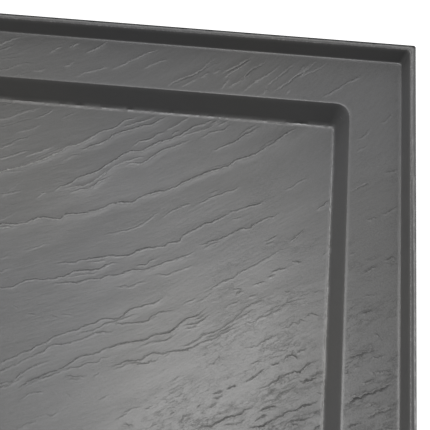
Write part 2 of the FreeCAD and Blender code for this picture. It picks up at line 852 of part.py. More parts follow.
def make_outlet_nut():
    """The compression nut, with finger grooves around it."""
    thread_bore = "(outlet_thread_radius + thread_clearance)"
    pipe_hole = f"({PIPE_SOCKET} + slip_clearance)"
    mouth = f"({NUT_TOP} - outlet_nut_length)"
    body = turned_body(
        "outlet_nut",
        [
            (pipe_hole, SLIP_RING_TOP),
            (pipe_hole, NUT_TOP),
            ("outlet_nut_radius - outlet_groove_radius", NUT_TOP),
            ("outlet_nut_radius", f"{NUT_TOP} - outlet_groove_radius"),
            ("outlet_nut_radius", mouth),
            (thread_bore, mouth),
            (thread_bore, SLIP_RING_TOP),
        ],
    )
    groove_outline = new_sketch(body, "groove_outline", level=mouth)
    draw_circle(groove_outline, "outlet_groove_radius", "outlet_nut_radius")
    groove = pocket(body, "finger_groove", groove_outline, "outlet_nut_length", upward=True)
    repeat_around(body, "finger_grooves", [groove], "outlet_nut_grooves")
    return face_outlet(body)


# Levelling legs --------------------------------------------------------------------------------------


def place_leg(body, corner):
    """Put a leg's piece at one of the six leg places."""
    side_x, side_y = LEG_PLACES[corner]
    place(body, across=f"{side_x} * leg_spread_long / 2", along=f"{side_y} * leg_spread_short / 2")
    return body


def make_leg_socket(corner):
    """The plate that is screwed under the tray, with a threaded sleeve and four gussets."""
    body = new_body(f"leg_socket_{corner}")
    plate_outline = new_sketch(body, "plate_outline", level=PLATE_BOTTOM)
    draw_rounded_rectangle(plate_outline, "plate_side / 2", "plate_side / 2", "plate_corner")
    pad(body, "plate", plate_outline, "plate_thickness")
    sleeve_outline = new_sketch(body, "sleeve_outline", level=SLEEVE_BOTTOM)
    draw_circle(sleeve_outline, "sleeve_radius")
    pad(body, "sleeve", sleeve_outline, "sleeve_length")
    gusset_outline = new_sketch(body, "gusset_outline", "XZ_Plane")
    draw_polygon(
        gusset_outline,
        [
            ("sleeve_radius / 2 + spindle_radius / 2", PLATE_BOTTOM),
            ("sleeve_radius / 2 + spindle_radius / 2", f"{PLATE_BOTTOM} - gusset_height"),
            ("sleeve_radius", f"{PLATE_BOTTOM} - gusset_height"),
            ("sleeve_radius + gusset_reach", PLATE_BOTTOM),
        ],
    )
    gusset = pad(body, "gusset", gusset_outline, "gusset_thickness")
    gusset.Midplane = True
    repeat_around(body, "gussets", [gusset], GUSSET_COUNT)
    bore_outline = new_sketch(body, "bore_outline", level=SLEEVE_BOTTOM)
    draw_circle(bore_outline, "spindle_radius + thread_clearance")
    pocket(body, "bore", bore_outline, "sleeve_length + plate_thickness", upward=True)
    hole_outline = new_sketch(body, "screw_hole_outline", level=PLATE_BOTTOM)
    for turn_x, turn_y in QUARTER_SIGNS:
        across = f"{turn_x} * leg_screw_spacing / 2"
        along = f"{turn_y} * leg_screw_spacing / 2"
        draw_circle(hole_outline, "leg_screw_radius + screw_hole_clearance", across, along)
    pocket(body, "screw_holes", hole_outline, "plate_thickness", upward=True)
    return place_leg(body, corner)


def make_leg_spindle(corner):
    """The threaded spindle: a pin in the foot, a hexagon to turn it by and the rod up into the sleeve."""
    spindle_top = f"({UNDERSIDE} - spindle_top_gap)"
    pin_bottom = "(foot_hub_height - pin_length)"
    body = turned_body(
        f"leg_spindle_{corner}",
        [
            ("0", pin_bottom),
            ("pin_radius", pin_bottom),
            ("pin_radius", "foot_hub_height"),
            ("spindle_radius", "foot_hub_height"),
            ("spindle_radius", f"{spindle_top} - spindle_chamfer"),
            ("spindle_radius - spindle_chamfer", spindle_top),
            ("0", spindle_top),
        ],
    )
    hexagon_outline = new_sketch(body, "hexagon_outline", level="foot_hub_height")
    draw_hexagon(hexagon_outline, "hexagon_flats")
    pad(body, "hexagon", hexagon_outline, "hexagon_height")
    return place_leg(body, corner)


def make_lock_nut(corner):
    """The hexagon nut that locks the spindle against the sleeve."""
    body = new_body(f"lock_nut_{corner}")
    nut_bottom = f"({SLEEVE_BOTTOM} - lock_nut_height)"
    outline = new_sketch(body, "outline", level=nut_bottom)
    draw_hexagon(outline, "lock_nut_flats")
    draw_circle(outline, "spindle_radius + thread_clearance")
    pad(body, "nut", outline, "lock_nut_height")
    return place_leg(body, corner)


def make_foot(corner):
    """The round foot with a hub whose blind hole the spindle's pin turns in."""
    hole_bottom = "(foot_hub_height - pin_length - slip_clearance)"
    body = turned_body(
        f"leg_foot_{corner}",
        [
            ("0", "0"),
            ("foot_radius", "0"),
            ("foot_radius", "foot_edge - foot_edge_chamfer"),
            ("foot_radius - foot_edge_chamfer", "foot_edge"),
            ("foot_hub_radius + foot_hub_flare", "foot_edge"),
            ("foot_hub_radius", "foot_edge + foot_hub_flare"),
            ("foot_hub_radius", "foot_hub_height"),
            ("pin_radius + running_clearance", "foot_hub_height"),
            ("pin_radius + running_clearance", hole_bottom),
            ("0", hole_bottom),
        ],
    )
    return place_leg(body, corner)


# Screws, each group in one node as separate solids ---------------------------------------------------


def make_screw(name, across, along, shank, head, level):
    """One screw: a shank and a head, each given as (radius, length) or (low radius, high radius, length)."""
    shank_radius, shank_bottom, shank_length = shank
    rod = document.addObject("Part::Cylinder", f"{name}_shank")
    bind(rod, "Radius", shank_radius)
    bind(rod, "Height", shank_length)
    low_radius, high_radius, head_height = head
    cap = document.addObject("Part::Cone", f"{name}_head")
    bind(cap, "Radius1", low_radius)
    bind(cap, "Radius2", high_radius)
    bind(cap, "Height", head_height)
    for solid, height in ((rod, shank_bottom), (cap, level)):
        place(solid, across, along, height)
    screw = document.addObject("Part::Fuse", name)
    screw.Base = rod
    screw.Tool = cap
    return screw


def make_screw_group(label, screws):
    """Separate screws kept together under one label."""
    group = document.addObject("Part::Compound", label)
    group.Label = label
    group.Links = screws
    return group


def make_flange_screws():
    """The countersunk screws from the flange into the trap."""
    screws = []
    for turn in range(int(SCREW_COUNT)):
        angle = f"({SCREW_TURN} + {turn} * {FULL_TURN} / {SCREW_COUNT})"
        screws.append(
            make_screw(
                f"flange_screw_{turn + 1}",
                f"flange_screw_circle * cos{angle}",
                f"flange_screw_circle * sin{angle}",
                ("flange_screw_radius", f"{FLANGE_TOP} - flange_screw_length", "flange_screw_length"),
                ("flange_screw_radius", "flange_screw_head", "flange_screw_sink"),
                f"{FLANGE_TOP} - flange_screw_sink",
            )
        )
    return make_screw_group("flange_screws", screws)


def make_leg_screws():
    """Four pan-head screws for each leg's plate, up into the tray's slab."""
    screws = []
    for number, (across, along) in enumerate(leg_screw_places(), start=1):
        screws.append(
            make_screw(
                f"leg_screw_{number}",
                across,
                along,
                ("leg_screw_radius", PLATE_BOTTOM, "leg_screw_length"),
                ("leg_screw_head - leg_screw_head_height / 3", "leg_screw_head", "leg_screw_head_height"),
                f"{PLATE_BOTTOM} - leg_screw_head_height",
            )
        )
    return make_screw_group("leg_screws", screws)


# Checks and files ------------------------------------------------------------------------------------


def check_objects():
    """Stop if any object of the document failed to build."""
    for thing in document.Objects:
        if {"Invalid", "Error"} & set(thing.State):
            raise RuntimeError(f"{thing.Label} failed: {thing.State}")


def write_parts(parts):
    """Write one file for each sub-part, once every shape has been checked."""
    for part in parts:
        if part.Shape.isNull() or not part.Shape.isValid():
            raise RuntimeError(f"{part.Label} has no valid shape")
    os.makedirs("parts", exist_ok=True)
    for part in parts:
        part.Shape.exportStep(f"parts/{part.Label}.step")


def main():
    """Build every sub-part, check them all and write them."""
    parts = [
        make_tray(),
        make_flange_seal(),
        make_flange(),
        make_trap_seal(),
        make_trap(),
        make_flange_screws(),
        make_dip_tube(),
        make_dip_seal(),
        make_strainer(),
        make_carrier(),
        make_cover(),
        make_outlet_seal(),
        make_slip_ring(),
        make_outlet_nut(),
        make_leg_screws(),
    ]
    for corner in LEG_PLACES:
        parts += [make_leg_socket(corner), make_lock_nut(corner), make_leg_spindle(corner), make_foot(corner)]
    document.recompute()
    check_objects()
    write_parts(parts)
    print(len(parts), "sub-parts written")


main()
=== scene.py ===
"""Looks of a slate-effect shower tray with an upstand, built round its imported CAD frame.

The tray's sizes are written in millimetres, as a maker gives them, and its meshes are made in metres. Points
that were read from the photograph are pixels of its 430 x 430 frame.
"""

import logging
import math
from dataclasses import dataclass, field
from enum import Enum

import bpy
import numpy as np
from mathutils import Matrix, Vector


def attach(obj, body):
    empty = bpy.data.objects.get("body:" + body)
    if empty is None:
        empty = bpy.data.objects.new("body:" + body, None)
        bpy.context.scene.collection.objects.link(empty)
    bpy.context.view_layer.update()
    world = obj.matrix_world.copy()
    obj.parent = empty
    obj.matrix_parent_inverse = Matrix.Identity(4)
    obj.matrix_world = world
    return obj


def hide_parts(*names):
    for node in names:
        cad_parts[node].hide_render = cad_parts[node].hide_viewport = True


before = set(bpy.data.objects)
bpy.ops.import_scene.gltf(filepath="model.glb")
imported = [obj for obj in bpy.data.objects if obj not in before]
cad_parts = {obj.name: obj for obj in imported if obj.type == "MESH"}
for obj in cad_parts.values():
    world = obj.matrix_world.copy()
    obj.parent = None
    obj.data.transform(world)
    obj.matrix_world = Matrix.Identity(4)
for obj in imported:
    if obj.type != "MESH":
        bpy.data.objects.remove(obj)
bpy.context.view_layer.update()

MM = 0.001
PHOTO_SIDE = 430.0
CARRIED = (1, 2, 3)  # vectors at each point of the slate, which hold three sets of clefts each
LIES = (20.0, 34.0, 54.0)  # angles of the cleavage that streaks are drawn at, in degrees
log = logging.getLogger("shower_tray")


# ---------------------------------------------------------------- shader expressions


class Wire:
    """A node's output in an expression. Its operators add Math or Vector Math nodes to the output's tree."""

    def __init__(self, socket: bpy.types.NodeSocket) -> None:
        """Keeps the output and its tree.

        Args:
            socket: the output that the expression starts from.
        """
        self.socket = socket
        self.tree = socket.id_data

    def is_vector(self) -> bool:
        """Tells a vector or a colour from a number."""
        return self.socket.type in {"VECTOR", "RGBA"}

    def _apply(self, operation: str, *terms: "Wire | float") -> "Wire":
        """Adds the node of one operation.

        Args:
            operation: the name that Math and Vector Math give it.
            terms: outputs or plain numbers, in the operation's order.

        Returns:
            The new node's output.
        """
        vector = any(isinstance(term, Wire) and term.is_vector() for term in terms)
        node = self.tree.nodes.new("ShaderNodeVectorMath" if vector else "ShaderNodeMath")
        node.operation = operation
        for slot, term in zip(node.inputs, terms):
            if isinstance(term, Wire):
                self.tree.links.new(term.socket, slot)
            else:
                slot.default_value = (term, term, term) if vector else term
        number = operation in {"DOT_PRODUCT", "LENGTH"}
        return Wire(node.outputs["Value" if number or not vector else "Vector"])

    def __add__(self, other: "Wire | float") -> "Wire":
        """This plus other."""
        return self._apply("ADD", self, other)

    def __radd__(self, other: float) -> "Wire":
        """Other plus this."""
        return self._apply("ADD", other, self)

    def __sub__(self, other: "Wire | float") -> "Wire":
        """This less other."""
        return self._apply("SUBTRACT", self, other)

    def __rsub__(self, other: float) -> "Wire":
        """Other less this."""
        return self._apply("SUBTRACT", other, self)

    def __mul__(self, other: "Wire | float") -> "Wire":
        """This times other."""
        return self._apply("MULTIPLY", self, other)

    def __rmul__(self, other: float) -> "Wire":
        """Other times this."""
        return self._apply("MULTIPLY", other, self)

    def at_least(self, floor: float) -> "Wire":
        """The larger of this and a number."""
        return self._apply("MAXIMUM", self, floor)

    def at_most(self, ceiling: float) -> "Wire":
        """The smaller of this and a number."""
        return self._apply("MINIMUM", self, ceiling)

    def size(self) -> "Wire":
        """The absolute value, part by part."""
        return self._apply("ABSOLUTE", self)

    def root(self) -> "Wire":
        """The square root."""
        return self._apply("SQRT", self)

    def bearing(self, across: "Wire") -> "Wire":
        """The angle about the origin of the point (across, this), in radians."""
        return self._apply("ARCTAN2", self, across)

    def dot(self, other: "Wire") -> "Wire":
        """The products of the parts, added up."""
        return self._apply("DOT_PRODUCT", self, other)

    def hump(self, middle: float, reach: float) -> "Wire":
        """A smooth hump: (1 - ((x - middle) / reach) squared) squared, and zero outside the reach.

        Args:
            middle: where the hump is highest.
            reach: how far it goes to each side.

        Returns:
            0 to 1, for a number or for each part of a vector.
        """
        offset = (self - middle) * (1.0 / reach)
        low = (1.0 - offset * offset).at_least(0.0)
        return low * low

    def ramp(self, start: float, end: float) -> "Wire":
        """Climbs evenly from 0 at start to 1 at end, and stays between them."""
        return ((self - start) * (1.0 / (end - start))).at_least(0.0).at_most(1.0)


class Recipe:
    """The node tree of a material or of the world."""

    def __init__(self, owner: "bpy.types.Material | bpy.types.World") -> None:
        """Empties the owner's tree.

        Args:
            owner: what the tree belongs to.
        """
        owner.use_nodes = True
        self.owner = owner
        self.tree = owner.node_tree
        self.tree.nodes.clear()

    @classmethod
    def material(cls, name: str) -> "Recipe":
        """The empty recipe of a new material."""
        return cls(bpy.data.materials.new(name))

    def node(
        self, kind: str, settings: dict | None = None, inputs: dict | None = None, out: int | str = 0
    ) -> Wire | None:
        """Adds one node: its settings first, then its sockets.

        Args:
            kind: the node's type.
            settings: the node's properties by name.
            inputs: values or wires by socket name or number.
            out: the name or number of the output that is wanted.

        Returns:
            That output, or None for a node that has no outputs.
        """
        node = self.tree.nodes.new(kind)
        for key, value in (settings or {}).items():
            setattr(node, key, value)
        for key, value in (inputs or {}).items():
            if isinstance(value, Wire):
                self.tree.links.new(value.socket, node.inputs[key])
            else:
                node.inputs[key].default_value = value
        return Wire(node.outputs[out]) if len(node.outputs) else None

    def place(self) -> Wire:
        """The point in the object's own coordinates, in metres."""
        return self.node("ShaderNodeTexCoord", out="Object")

    def attribute(self, name: str, vector: bool = True) -> Wire:
        """A value that the mesh carries at its points."""
        return self.node("ShaderNodeAttribute", {"attribute_name": name}, out="Vector" if vector else "Fac")

    def noise(self, where: Wire, scale: float, detail: float = 2.0, rough: float = 0.5) -> Wire:
        """Smooth noise between 0 and 1.

        Args:
            where: the coordinates.
            scale: lumps per metre.
            detail: how many finer layers are added.
            rough: how strong the finer layers are.

        Returns:
            The noise.
        """
        inputs = {"Vector": where, "Scale": scale, "Detail": detail, "Roughness": rough}
        return self.node("ShaderNodeTexNoise", {}, inputs)

    def turned(self, where: Wire, degrees: float, stretch: tuple[float, float, float]) -> Wire:
        """Coordinates turned about z and then stretched, so that noise on them makes streaks.

        Args:
            where: the coordinates.
            degrees: the way the streaks run, counted from +X.
            stretch: the scale along the streaks, across them and upwards.

        Returns:
            The new coordinates.
        """
        settings = {"vector_type": "POINT"}
        rotation = (0.0, 0.0, -math.radians(degrees))
        turned = self.node("ShaderNodeMapping", settings, {"Vector": where, "Rotation": rotation})
        return self.node("ShaderNodeMapping", settings, {"Vector": turned, "Scale": stretch})

    def parts(self, vector: Wire) -> tuple[Wire, ...]:
        """The three parts of a vector."""
        split = self.node("ShaderNodeSeparateXYZ", {}, {0: vector}).socket.node
        return tuple(Wire(part) for part in split.outputs)

    def seen(self) -> Wire:
        """Tells the rays that show a surface from those that carry its light.

        Returns:
            1 for rays from the camera, off gloss and through glass, and 0 for the rest.
        """
        rays = self.node("ShaderNodeLightPath").socket.node.outputs
        direct = Wire(rays["Is Camera Ray"]) + Wire(rays["Is Glossy Ray"])
        return (direct + Wire(rays["Is Transmission Ray"])).at_most(1.0)

    def tint(self, factor: Wire, low: tuple, high: tuple) -> Wire:
        """A colour between two others.

        Args:
            factor: 0 gives low and 1 gives high.
            low: linear red, green and blue.
            high: linear red, green and blue.

        Returns:
            The colour.
        """
        inputs = {0: factor, 6: (*low, 1.0), 7: (*high, 1.0)}
        return self.node("ShaderNodeMix", {"data_type": "RGBA"}, inputs, out=2)

    def shaded(self, colour: Wire, shade: Wire) -> Wire:
        """A colour made darker or lighter by a number."""
        return self.node("ShaderNodeVectorMath", {"operation": "SCALE"}, {0: colour, "Scale": shade})

    def finish(
        self, colour: Wire, roughness: Wire, height: Wire | None = None, constants: dict | None = None
    ) -> bpy.types.Material:
        """Adds the surface shader and the output.

        Args:
            colour: the base colour.
            roughness: the roughness.
            height: the relief in millimetres, which a Bump node turns into a normal.
            constants: other sockets of the shader, the same all over.

        Returns:
            The material.
        """
        inputs = {"Base Color": colour, "Roughness": roughness, **(constants or {})}
        if height is not None:
            bump = {"Strength": 1.0, "Distance": MM, "Height": height}
            inputs["Normal"] = self.node("ShaderNodeBump", {}, bump)
        shader = self.node("ShaderNodeBsdfPrincipled", {}, inputs)
        self.node("ShaderNodeOutputMaterial", {}, {"Surface": shader})
        return self.owner


# ---------------------------------------------------------------- finishes


@dataclass(frozen=True)
class SlateFinish:
    """Dark grey cast slate, with clefts, streaks along the cleavage, specks, hairs, pits and chipped edges,
    and with painted highlights and painted shade.

    Widths, places and heights are in millimetres. A value that ends in _shade is how much of the colour a
    mark adds or takes away, and one that ends in _relief is its height.
    """

    cool: tuple = (0.0725, 0.0725, 0.0735)
    warm: tuple = (0.0762, 0.0748, 0.072)
    gloss: float = 0.52
    gloss_roughness: float = 0.40
    shake: float = 4.2
    grain_shake: float = 3.0
    fine_shake: float = 2.4
    line_width: float = 1.1
    line_shade: float = 0.52
    darkest_line: float = 0.62
    line_relief: float = 0.26
    edge_place: float = 1.7
    edge_width: float = 1.6
    # the next value paints the clefts' raised edges lighter: a painted highlight on top of their relief
    edge_highlight_shade: float = 1.3
    edge_relief: float = 0.5
    lies: tuple = LIES
    streak_shade: float = 0.4
    streak_relief: float = 0.2
    speck_shade: float = 0.42
    speck_relief: float = 0.06
    grain_shade: float = 1.5
    grain_relief: float = 0.2
    hair_shade: float = 0.05
    grain_hair_shade: float = 0.15
    pit_shade: float = 0.14
    fine_relief: float = 0.4
    # the next value paints the chips' flecks lighter: painted glints
    chip_and_glint_shade: float = 1.2
    chip_relief: float = 0.25
    cloud_shade: float = 0.22
    dullness: float = 0.55

    def _clefts(self, recipe: Recipe, where: Wire, grain: Wire) -> tuple[Wire, Wire]:
        """The clefts' dark lines and raised edges.

        The mesh carries for nine sets of clefts the signed distance to the nearest one in millimetres, and
        how dark and how raised it is. The distance is shaken by two noises, a narrow hump on it is the dark
        line and a wider hump below it is the raised edge, whose colour is also painted lighter as a painted
        highlight. Both are beaded by a third noise.

        Args:
            recipe: the material's nodes.
            where: the point in metres.
            grain: how grainy the slate is, 0 to 1.

        Returns:
            The strength of the lines and that of the edges.
        """
        shake = (recipe.noise(where, 190.0, 4.0, 0.75) - 0.5) * (grain * self.grain_shake + self.shake)
        shake = shake + (recipe.noise(where, 560.0, 2.0, 0.7) - 0.5) * self.fine_shake
        beads = recipe.noise(where, 310.0, 2.0, 0.6).ramp(0.32, 0.56) * 0.55 + 0.45
        lines = []
        edges = []
        for number in CARRIED:
            gap = recipe.attribute(f"gap_{number}") + shake
            dark = recipe.attribute(f"crack_{number}")
            raised = recipe.attribute(f"ridge_{number}")
            lines.append(gap.hump(0.0, self.line_width).dot(dark))
            edges.append(gap.hump(self.edge_place, self.edge_width).dot(raised))
        return sum(lines[1:], lines[0]) * beads, sum(edges[1:], edges[0]) * beads

    def _streaks(self, recipe: Recipe, where: Wire, lie: Wire) -> Wire:
        """Fine streaks that follow the cleavage.

        Three sets of stretched noise run at three fixed angles, each weighed by how near the local angle is.

        Args:
            recipe: the material's nodes.
            where: the point in metres.
            lie: 0 where the cleavage runs at the first angle and 1 at the last.

        Returns:
            Noise about 0, a few tenths to each side.
        """
        layers = []
        for number, degrees in enumerate(self.lies):
            weight = (1.0 - (lie * 2.0 - float(number)).size()).at_least(0.0)
            drawn = recipe.turned(where, degrees, (0.16, 1.0, 1.0))
            layers.append((recipe.noise(drawn, 330.0, 4.0, 0.62) - 0.5) * weight)
        return sum(layers[1:], layers[0])

    def _hairs(self, recipe: Recipe, where: Wire, grain: Wire) -> Wire:
        """Hair lines and pits.

        A hair is where noise drawn out along the cleavage passes its middle value. A coarser noise breaks the
        hairs up, and a finer one makes pits where the slate is grainy.

        Args:
            recipe: the material's nodes.
            where: the point in metres.
            grain: how grainy the slate is, 0 to 1.

        Returns:
            How much darker they make the slate.
        """
        drawn = recipe.turned(where, 30.0, (0.3, 1.0, 1.0))
        hair = recipe.noise(drawn, 150.0, 6.0, 0.7).hump(0.5, 0.025)
        hair = hair * recipe.noise(drawn, 48.0, 2.0).ramp(0.36, 0.6)
        pits = recipe.noise(where, 430.0, 3.0, 0.65).ramp(0.56, 0.66) * grain
        return hair * (self.hair_shade + grain * self.grain_hair_shade) + pits * self.pit_shade

    def material(self) -> bpy.types.Material:
        """Builds the slate.

        The mesh carries at its points how much slate, chipped edge with painted glints and grain they have,
        how light the colour is there with painted highlights and painted shade in it, and how its cleavage
        lies.

        Returns:
            The material.
        """
        recipe = Recipe.material("slate_face")
        where = recipe.place()
        slate, highlight_and_wear, grain = recipe.parts(recipe.attribute("face"))
        tone = recipe.attribute("tone", vector=False)
        line, edge = self._clefts(recipe, where, grain)
        streak = self._streaks(recipe, where, recipe.attribute("lie", vector=False))
        fine = self._hairs(recipe, where, grain)
        speck = recipe.noise(where, 560.0, 4.0, 0.8) - 0.5
        cloud = (recipe.noise(where, 55.0, 4.0, 0.65) - 0.5) * (1.0 - slate)
        # painted glints: bright flecks on the chipped edges and fillets, which also get a little relief
        chips_and_glints = recipe.noise(where, 420.0, 3.0, 0.65).ramp(0.5, 0.68) * highlight_and_wear
        marks = streak * self.streak_shade + speck * (self.speck_shade + grain * self.grain_shade) - fine
        shade = tone * (1.0 + cloud * self.cloud_shade) + slate * marks
        shade = shade * (1.0 - (line * self.line_shade).at_most(self.darkest_line))
        # painted highlight: the raised edges are painted lighter, on top of their relief
        shade = shade * (1.0 + edge * self.edge_highlight_shade) * (1.0 + chips_and_glints * self.chip_and_glint_shade)
        mottle = recipe.noise(where, 5.0, 1.0).ramp(0.35, 0.65)
        colour = recipe.shaded(recipe.tint(mottle, self.cool, self.warm), shade)
        relief = streak * self.streak_relief + speck * (self.speck_relief + grain * self.grain_relief)
        relief = slate * (relief - fine * self.fine_relief)
        relief = relief + edge * self.edge_relief - line * self.line_relief + chips_and_glints * self.chip_relief
        dull = (1.0 - tone).at_least(0.0) * self.dullness
        roughness = self.gloss_roughness + dull + (streak + speck) * 0.12 + line * 0.15
        return recipe.finish(colour, roughness, relief, {"Specular IOR Level": self.gloss})


@dataclass(frozen=True)
class RawCastFinish:
    """The casting's raw back, as the mould's lid leaves it: plain resin with sand grain, swirls and pits."""

    pale: tuple = (0.215, 0.213, 0.208)
    dark: tuple = (0.150, 0.150, 0.152)

    def material(self) -> bpy.types.Material:
        """Builds the raw back of the casting.

        Returns:
            The material.
        """
        recipe = Recipe.material("raw_cast_back")
        where = recipe.place()
        cloud = recipe.noise(where, 14.0, 4.0, 0.6)
        sand = recipe.noise(where, 900.0, 3.0, 0.7) - 0.5
        pits = recipe.noise(where, 260.0, 1.0).ramp(0.66, 0.72)
        shade = 1.0 + sand * 0.5 - pits * 0.45
        colour = recipe.shaded(recipe.tint(cloud.ramp(0.3, 0.7), self.dark, self.pale), shade)
        return recipe.finish(colour, cloud * 0.2 + 0.62, sand * 0.12 - pits * 0.3)


class Grain(Enum):
    """The way in which a metal was brushed."""

    ROUND = "turned about the waste's axis"
    LENGTH = "drawn along the piece"
    NONE = "tumbled, then plated"


@dataclass(frozen=True)
class SteelFinish:
    """Stainless or zinc-plated steel with its brush marks, smudges and fine scratches."""

    name: str
    colour: tuple
    grain: Grain
    roughness: float = 0.3

    def _marks(self, recipe: Recipe, where: Wire) -> Wire:
        """The brush marks: noise stretched along the way of the grain.

        Turned marks are noise on the distance from the waste's axis and a small share of the angle about it.

        Args:
            recipe: the material's nodes.
            where: the point in metres.

        Returns:
            Noise between 0 and 1.
        """
        if self.grain is Grain.ROUND:
            across, along, up = recipe.parts(where)
            radius = (across * across + along * along).root()
            around = along.bearing(across) * 0.0016
            polar = recipe.node("ShaderNodeCombineXYZ", {}, {0: radius, 1: around, 2: up * 0.2})
            return recipe.noise(polar, 1300.0, 4.0, 0.65)
        if self.grain is Grain.LENGTH:
            drawn = recipe.turned(where, 0.0, (0.05, 1.0, 1.0))
            return recipe.noise(drawn, 2400.0, 3.0, 0.6)
        return recipe.noise(where, 1300.0, 3.0, 0.65)

    def material(self) -> bpy.types.Material:
        """Builds the steel.

        Returns:
            The material.
        """
        recipe = Recipe.material(self.name)
        where = recipe.place()
        marks = self._marks(recipe, where) - 0.5
        smudge = recipe.noise(where, 70.0, 3.0, 0.6)
        shade = 0.9 + marks * 0.4 - smudge.ramp(0.5, 0.8) * 0.15
        low = tuple(channel * 0.93 for channel in self.colour)
        colour = recipe.shaded(recipe.tint(smudge, low, self.colour), shade)
        roughness = self.roughness + marks * 0.16 + (smudge - 0.5) * 0.14
        return recipe.finish(colour, roughness, marks * 0.03, {"Metallic": 1.0})


@dataclass(frozen=True)
class PlasticFinish:
    """Moulded plastic: spark-eroded grain, a faint flow of the melt, and dust that has settled in it."""

    name: str
    colour: tuple
    roughness: float = 0.42
    grain_height: float = 0.03
    dust: float = 0.06

    def material(self) -> bpy.types.Material:
        """Builds the plastic.

        Returns:
            The material.
        """
        recipe = Recipe.material(self.name)
        where = recipe.place()
        grain = recipe.noise(where, 1700.0, 2.0, 0.6) - 0.5
        flow = recipe.noise(where, 34.0, 3.0, 0.55)
        dusty = tuple(channel * (1.0 - self.dust) + 0.35 * self.dust for channel in self.colour)
        colour = recipe.shaded(recipe.tint(flow.ramp(0.4, 0.75), self.colour, dusty), 1.0 + grain * 0.14)
        roughness = self.roughness + (flow - 0.5) * 0.16 + grain * 0.1
        return recipe.finish(colour, roughness, grain * self.grain_height)


@dataclass(frozen=True)
class RubberFinish:
    """Black seal rubber with a pale bloom and a satin mould skin."""

    colour: tuple = (0.028, 0.028, 0.029)
    bloom: tuple = (0.075, 0.075, 0.077)

    def material(self) -> bpy.types.Material:
        """Builds the rubber.

        Returns:
            The material.
        """
        recipe = Recipe.material("seal_rubber")
        where = recipe.place()
        cloud = recipe.noise(where, 120.0, 4.0, 0.6)
        skin = recipe.noise(where, 2200.0, 2.0) - 0.5
        colour = recipe.shaded(recipe.tint(cloud.ramp(0.5, 0.8), self.colour, self.bloom), 1.0 + skin * 0.3)
        return recipe.finish(colour, cloud * 0.25 + 0.55, skin * 0.02)


# ---------------------------------------------------------------- shapes as arrays


class PlaneNoise:
    """Smooth noise over a plane, from a seeded table of values at whole numbers."""

    side = 128

    def __init__(self, seed: int) -> None:
        """Fills the table.

        Args:
            seed: the table's seed.
        """
        self.table = np.random.default_rng(seed).uniform(-1.0, 1.0, (self.side, self.side))

    def _value(self, i: np.ndarray, j: np.ndarray) -> np.ndarray:
        """The table's values at whole numbers, repeated over the plane."""
        return self.table[i % self.side, j % self.side]

    def at(self, across: np.ndarray, along: np.ndarray) -> np.ndarray:
        """Blends the four values round each point, with eased weights.

        Args:
            across: first coordinates, in lumps.
            along: second coordinates, in lumps.

        Returns:
            Values between -1 and 1.
        """
        i = np.floor(across).astype(int)
        j = np.floor(along).astype(int)
        u = ease(across - i)
        v = ease(along - j)
        low = self._value(i, j) * (1.0 - u) + self._value(i + 1, j) * u
        high = self._value(i, j + 1) * (1.0 - u) + self._value(i + 1, j + 1) * u
        return low * (1.0 - v) + high * v

    def on_line(self, places: np.ndarray, row: float = 0.0) -> np.ndarray:
        """The values at places on one line of the plane."""
        return self.at(places, np.full_like(places, row))


def ease(share: np.ndarray) -> np.ndarray:
    """Bends a straight climb from 0 to 1 into 3t^2 - 2t^3."""
    return share * share * (3.0 - 2.0 * share)


def smooth(value: np.ndarray, start: float, end: float) -> np.ndarray:
    """Climbs with ease from 0 at start to 1 at end, and stays between them."""
    return ease(np.clip((value - start) / (end - start), 0.0, 1.0))


def lines_between(knots: tuple, gaps: tuple) -> np.ndarray:
    """Grid lines through all knots, evenly spaced between them by about each stretch's own gap.

    Args:
        knots: places that get a line, in order.
        gaps: the wanted spacing in each stretch between two knots.

    Returns:
        The lines' places.
    """
    runs = [
        np.linspace(start, end, max(1, round((end - start) / gap)) + 1)[:-1]
        for start, end, gap in zip(knots, knots[1:], gaps)
    ]
    return np.concatenate([*runs, [knots[-1]]])


def rounded(before: tuple, corner: tuple, after: tuple, radius: float, steps: int) -> np.ndarray:
    """The arc that rounds a profile's corner.

    The arc touches both sides at radius / tan(half the angle between them) from the corner, and its points
    turn evenly from one side's normal to the other's.

    Args:
        before: the profile's point before the corner, as (reach, level).
        corner: the corner.
        after: the point after it.
        radius: the arc's radius.
        steps: how many pieces it has.

    Returns:
        Its points, as (steps + 1, 2).
    """
    middle = np.array(corner)
    back = np.array(before) - middle
    ahead = np.array(after) - middle
    back = back / np.linalg.norm(back)
    ahead = ahead / np.linalg.norm(ahead)
    half = math.acos(float(np.clip(back @ ahead, -1.0, 1.0))) / 2.0
    bisector = (back + ahead) / np.linalg.norm(back + ahead)
    centre = middle + bisector * (radius / math.sin(half))
    first = middle + back * (radius / math.tan(half)) - centre
    last = middle + ahead * (radius / math.tan(half)) - centre
    sweep = math.pi - 2.0 * half
    share = np.linspace(0.0, 1.0, steps + 1)[:, None]
    return centre + (np.sin((1.0 - share) * sweep) * first + np.sin(share * sweep) * last) / math.sin(sweep)


def ring_faces(outer: np.ndarray, inner: np.ndarray) -> np.ndarray:
    """Quads between two closed loops of the same count, with the second on the first one's left.

    Args:
        outer: point numbers of the first loop.
        inner: point numbers of the second loop.

    Returns:
        Quads, as (count, 4).
    """
    return np.stack([outer, np.roll(outer, -1), np.roll(inner, -1), inner], axis=1)


def mesh_object(name: str, points: np.ndarray, quads: np.ndarray) -> bpy.types.Object:
    """Puts points and quads into a new smooth mesh at the origin.

    Args:
        name: the piece's name.
        points: places in millimetres, as (count, 3).
        quads: four point numbers a face.

    Returns:
        The object.
    """
    mesh = bpy.data.meshes.new(name)
    mesh.from_pydata((points * MM).tolist(), [], quads.tolist())
    mesh.shade_smooth()
    piece = bpy.data.objects.new(name, mesh)
    bpy.context.scene.collection.objects.link(piece)
    return piece


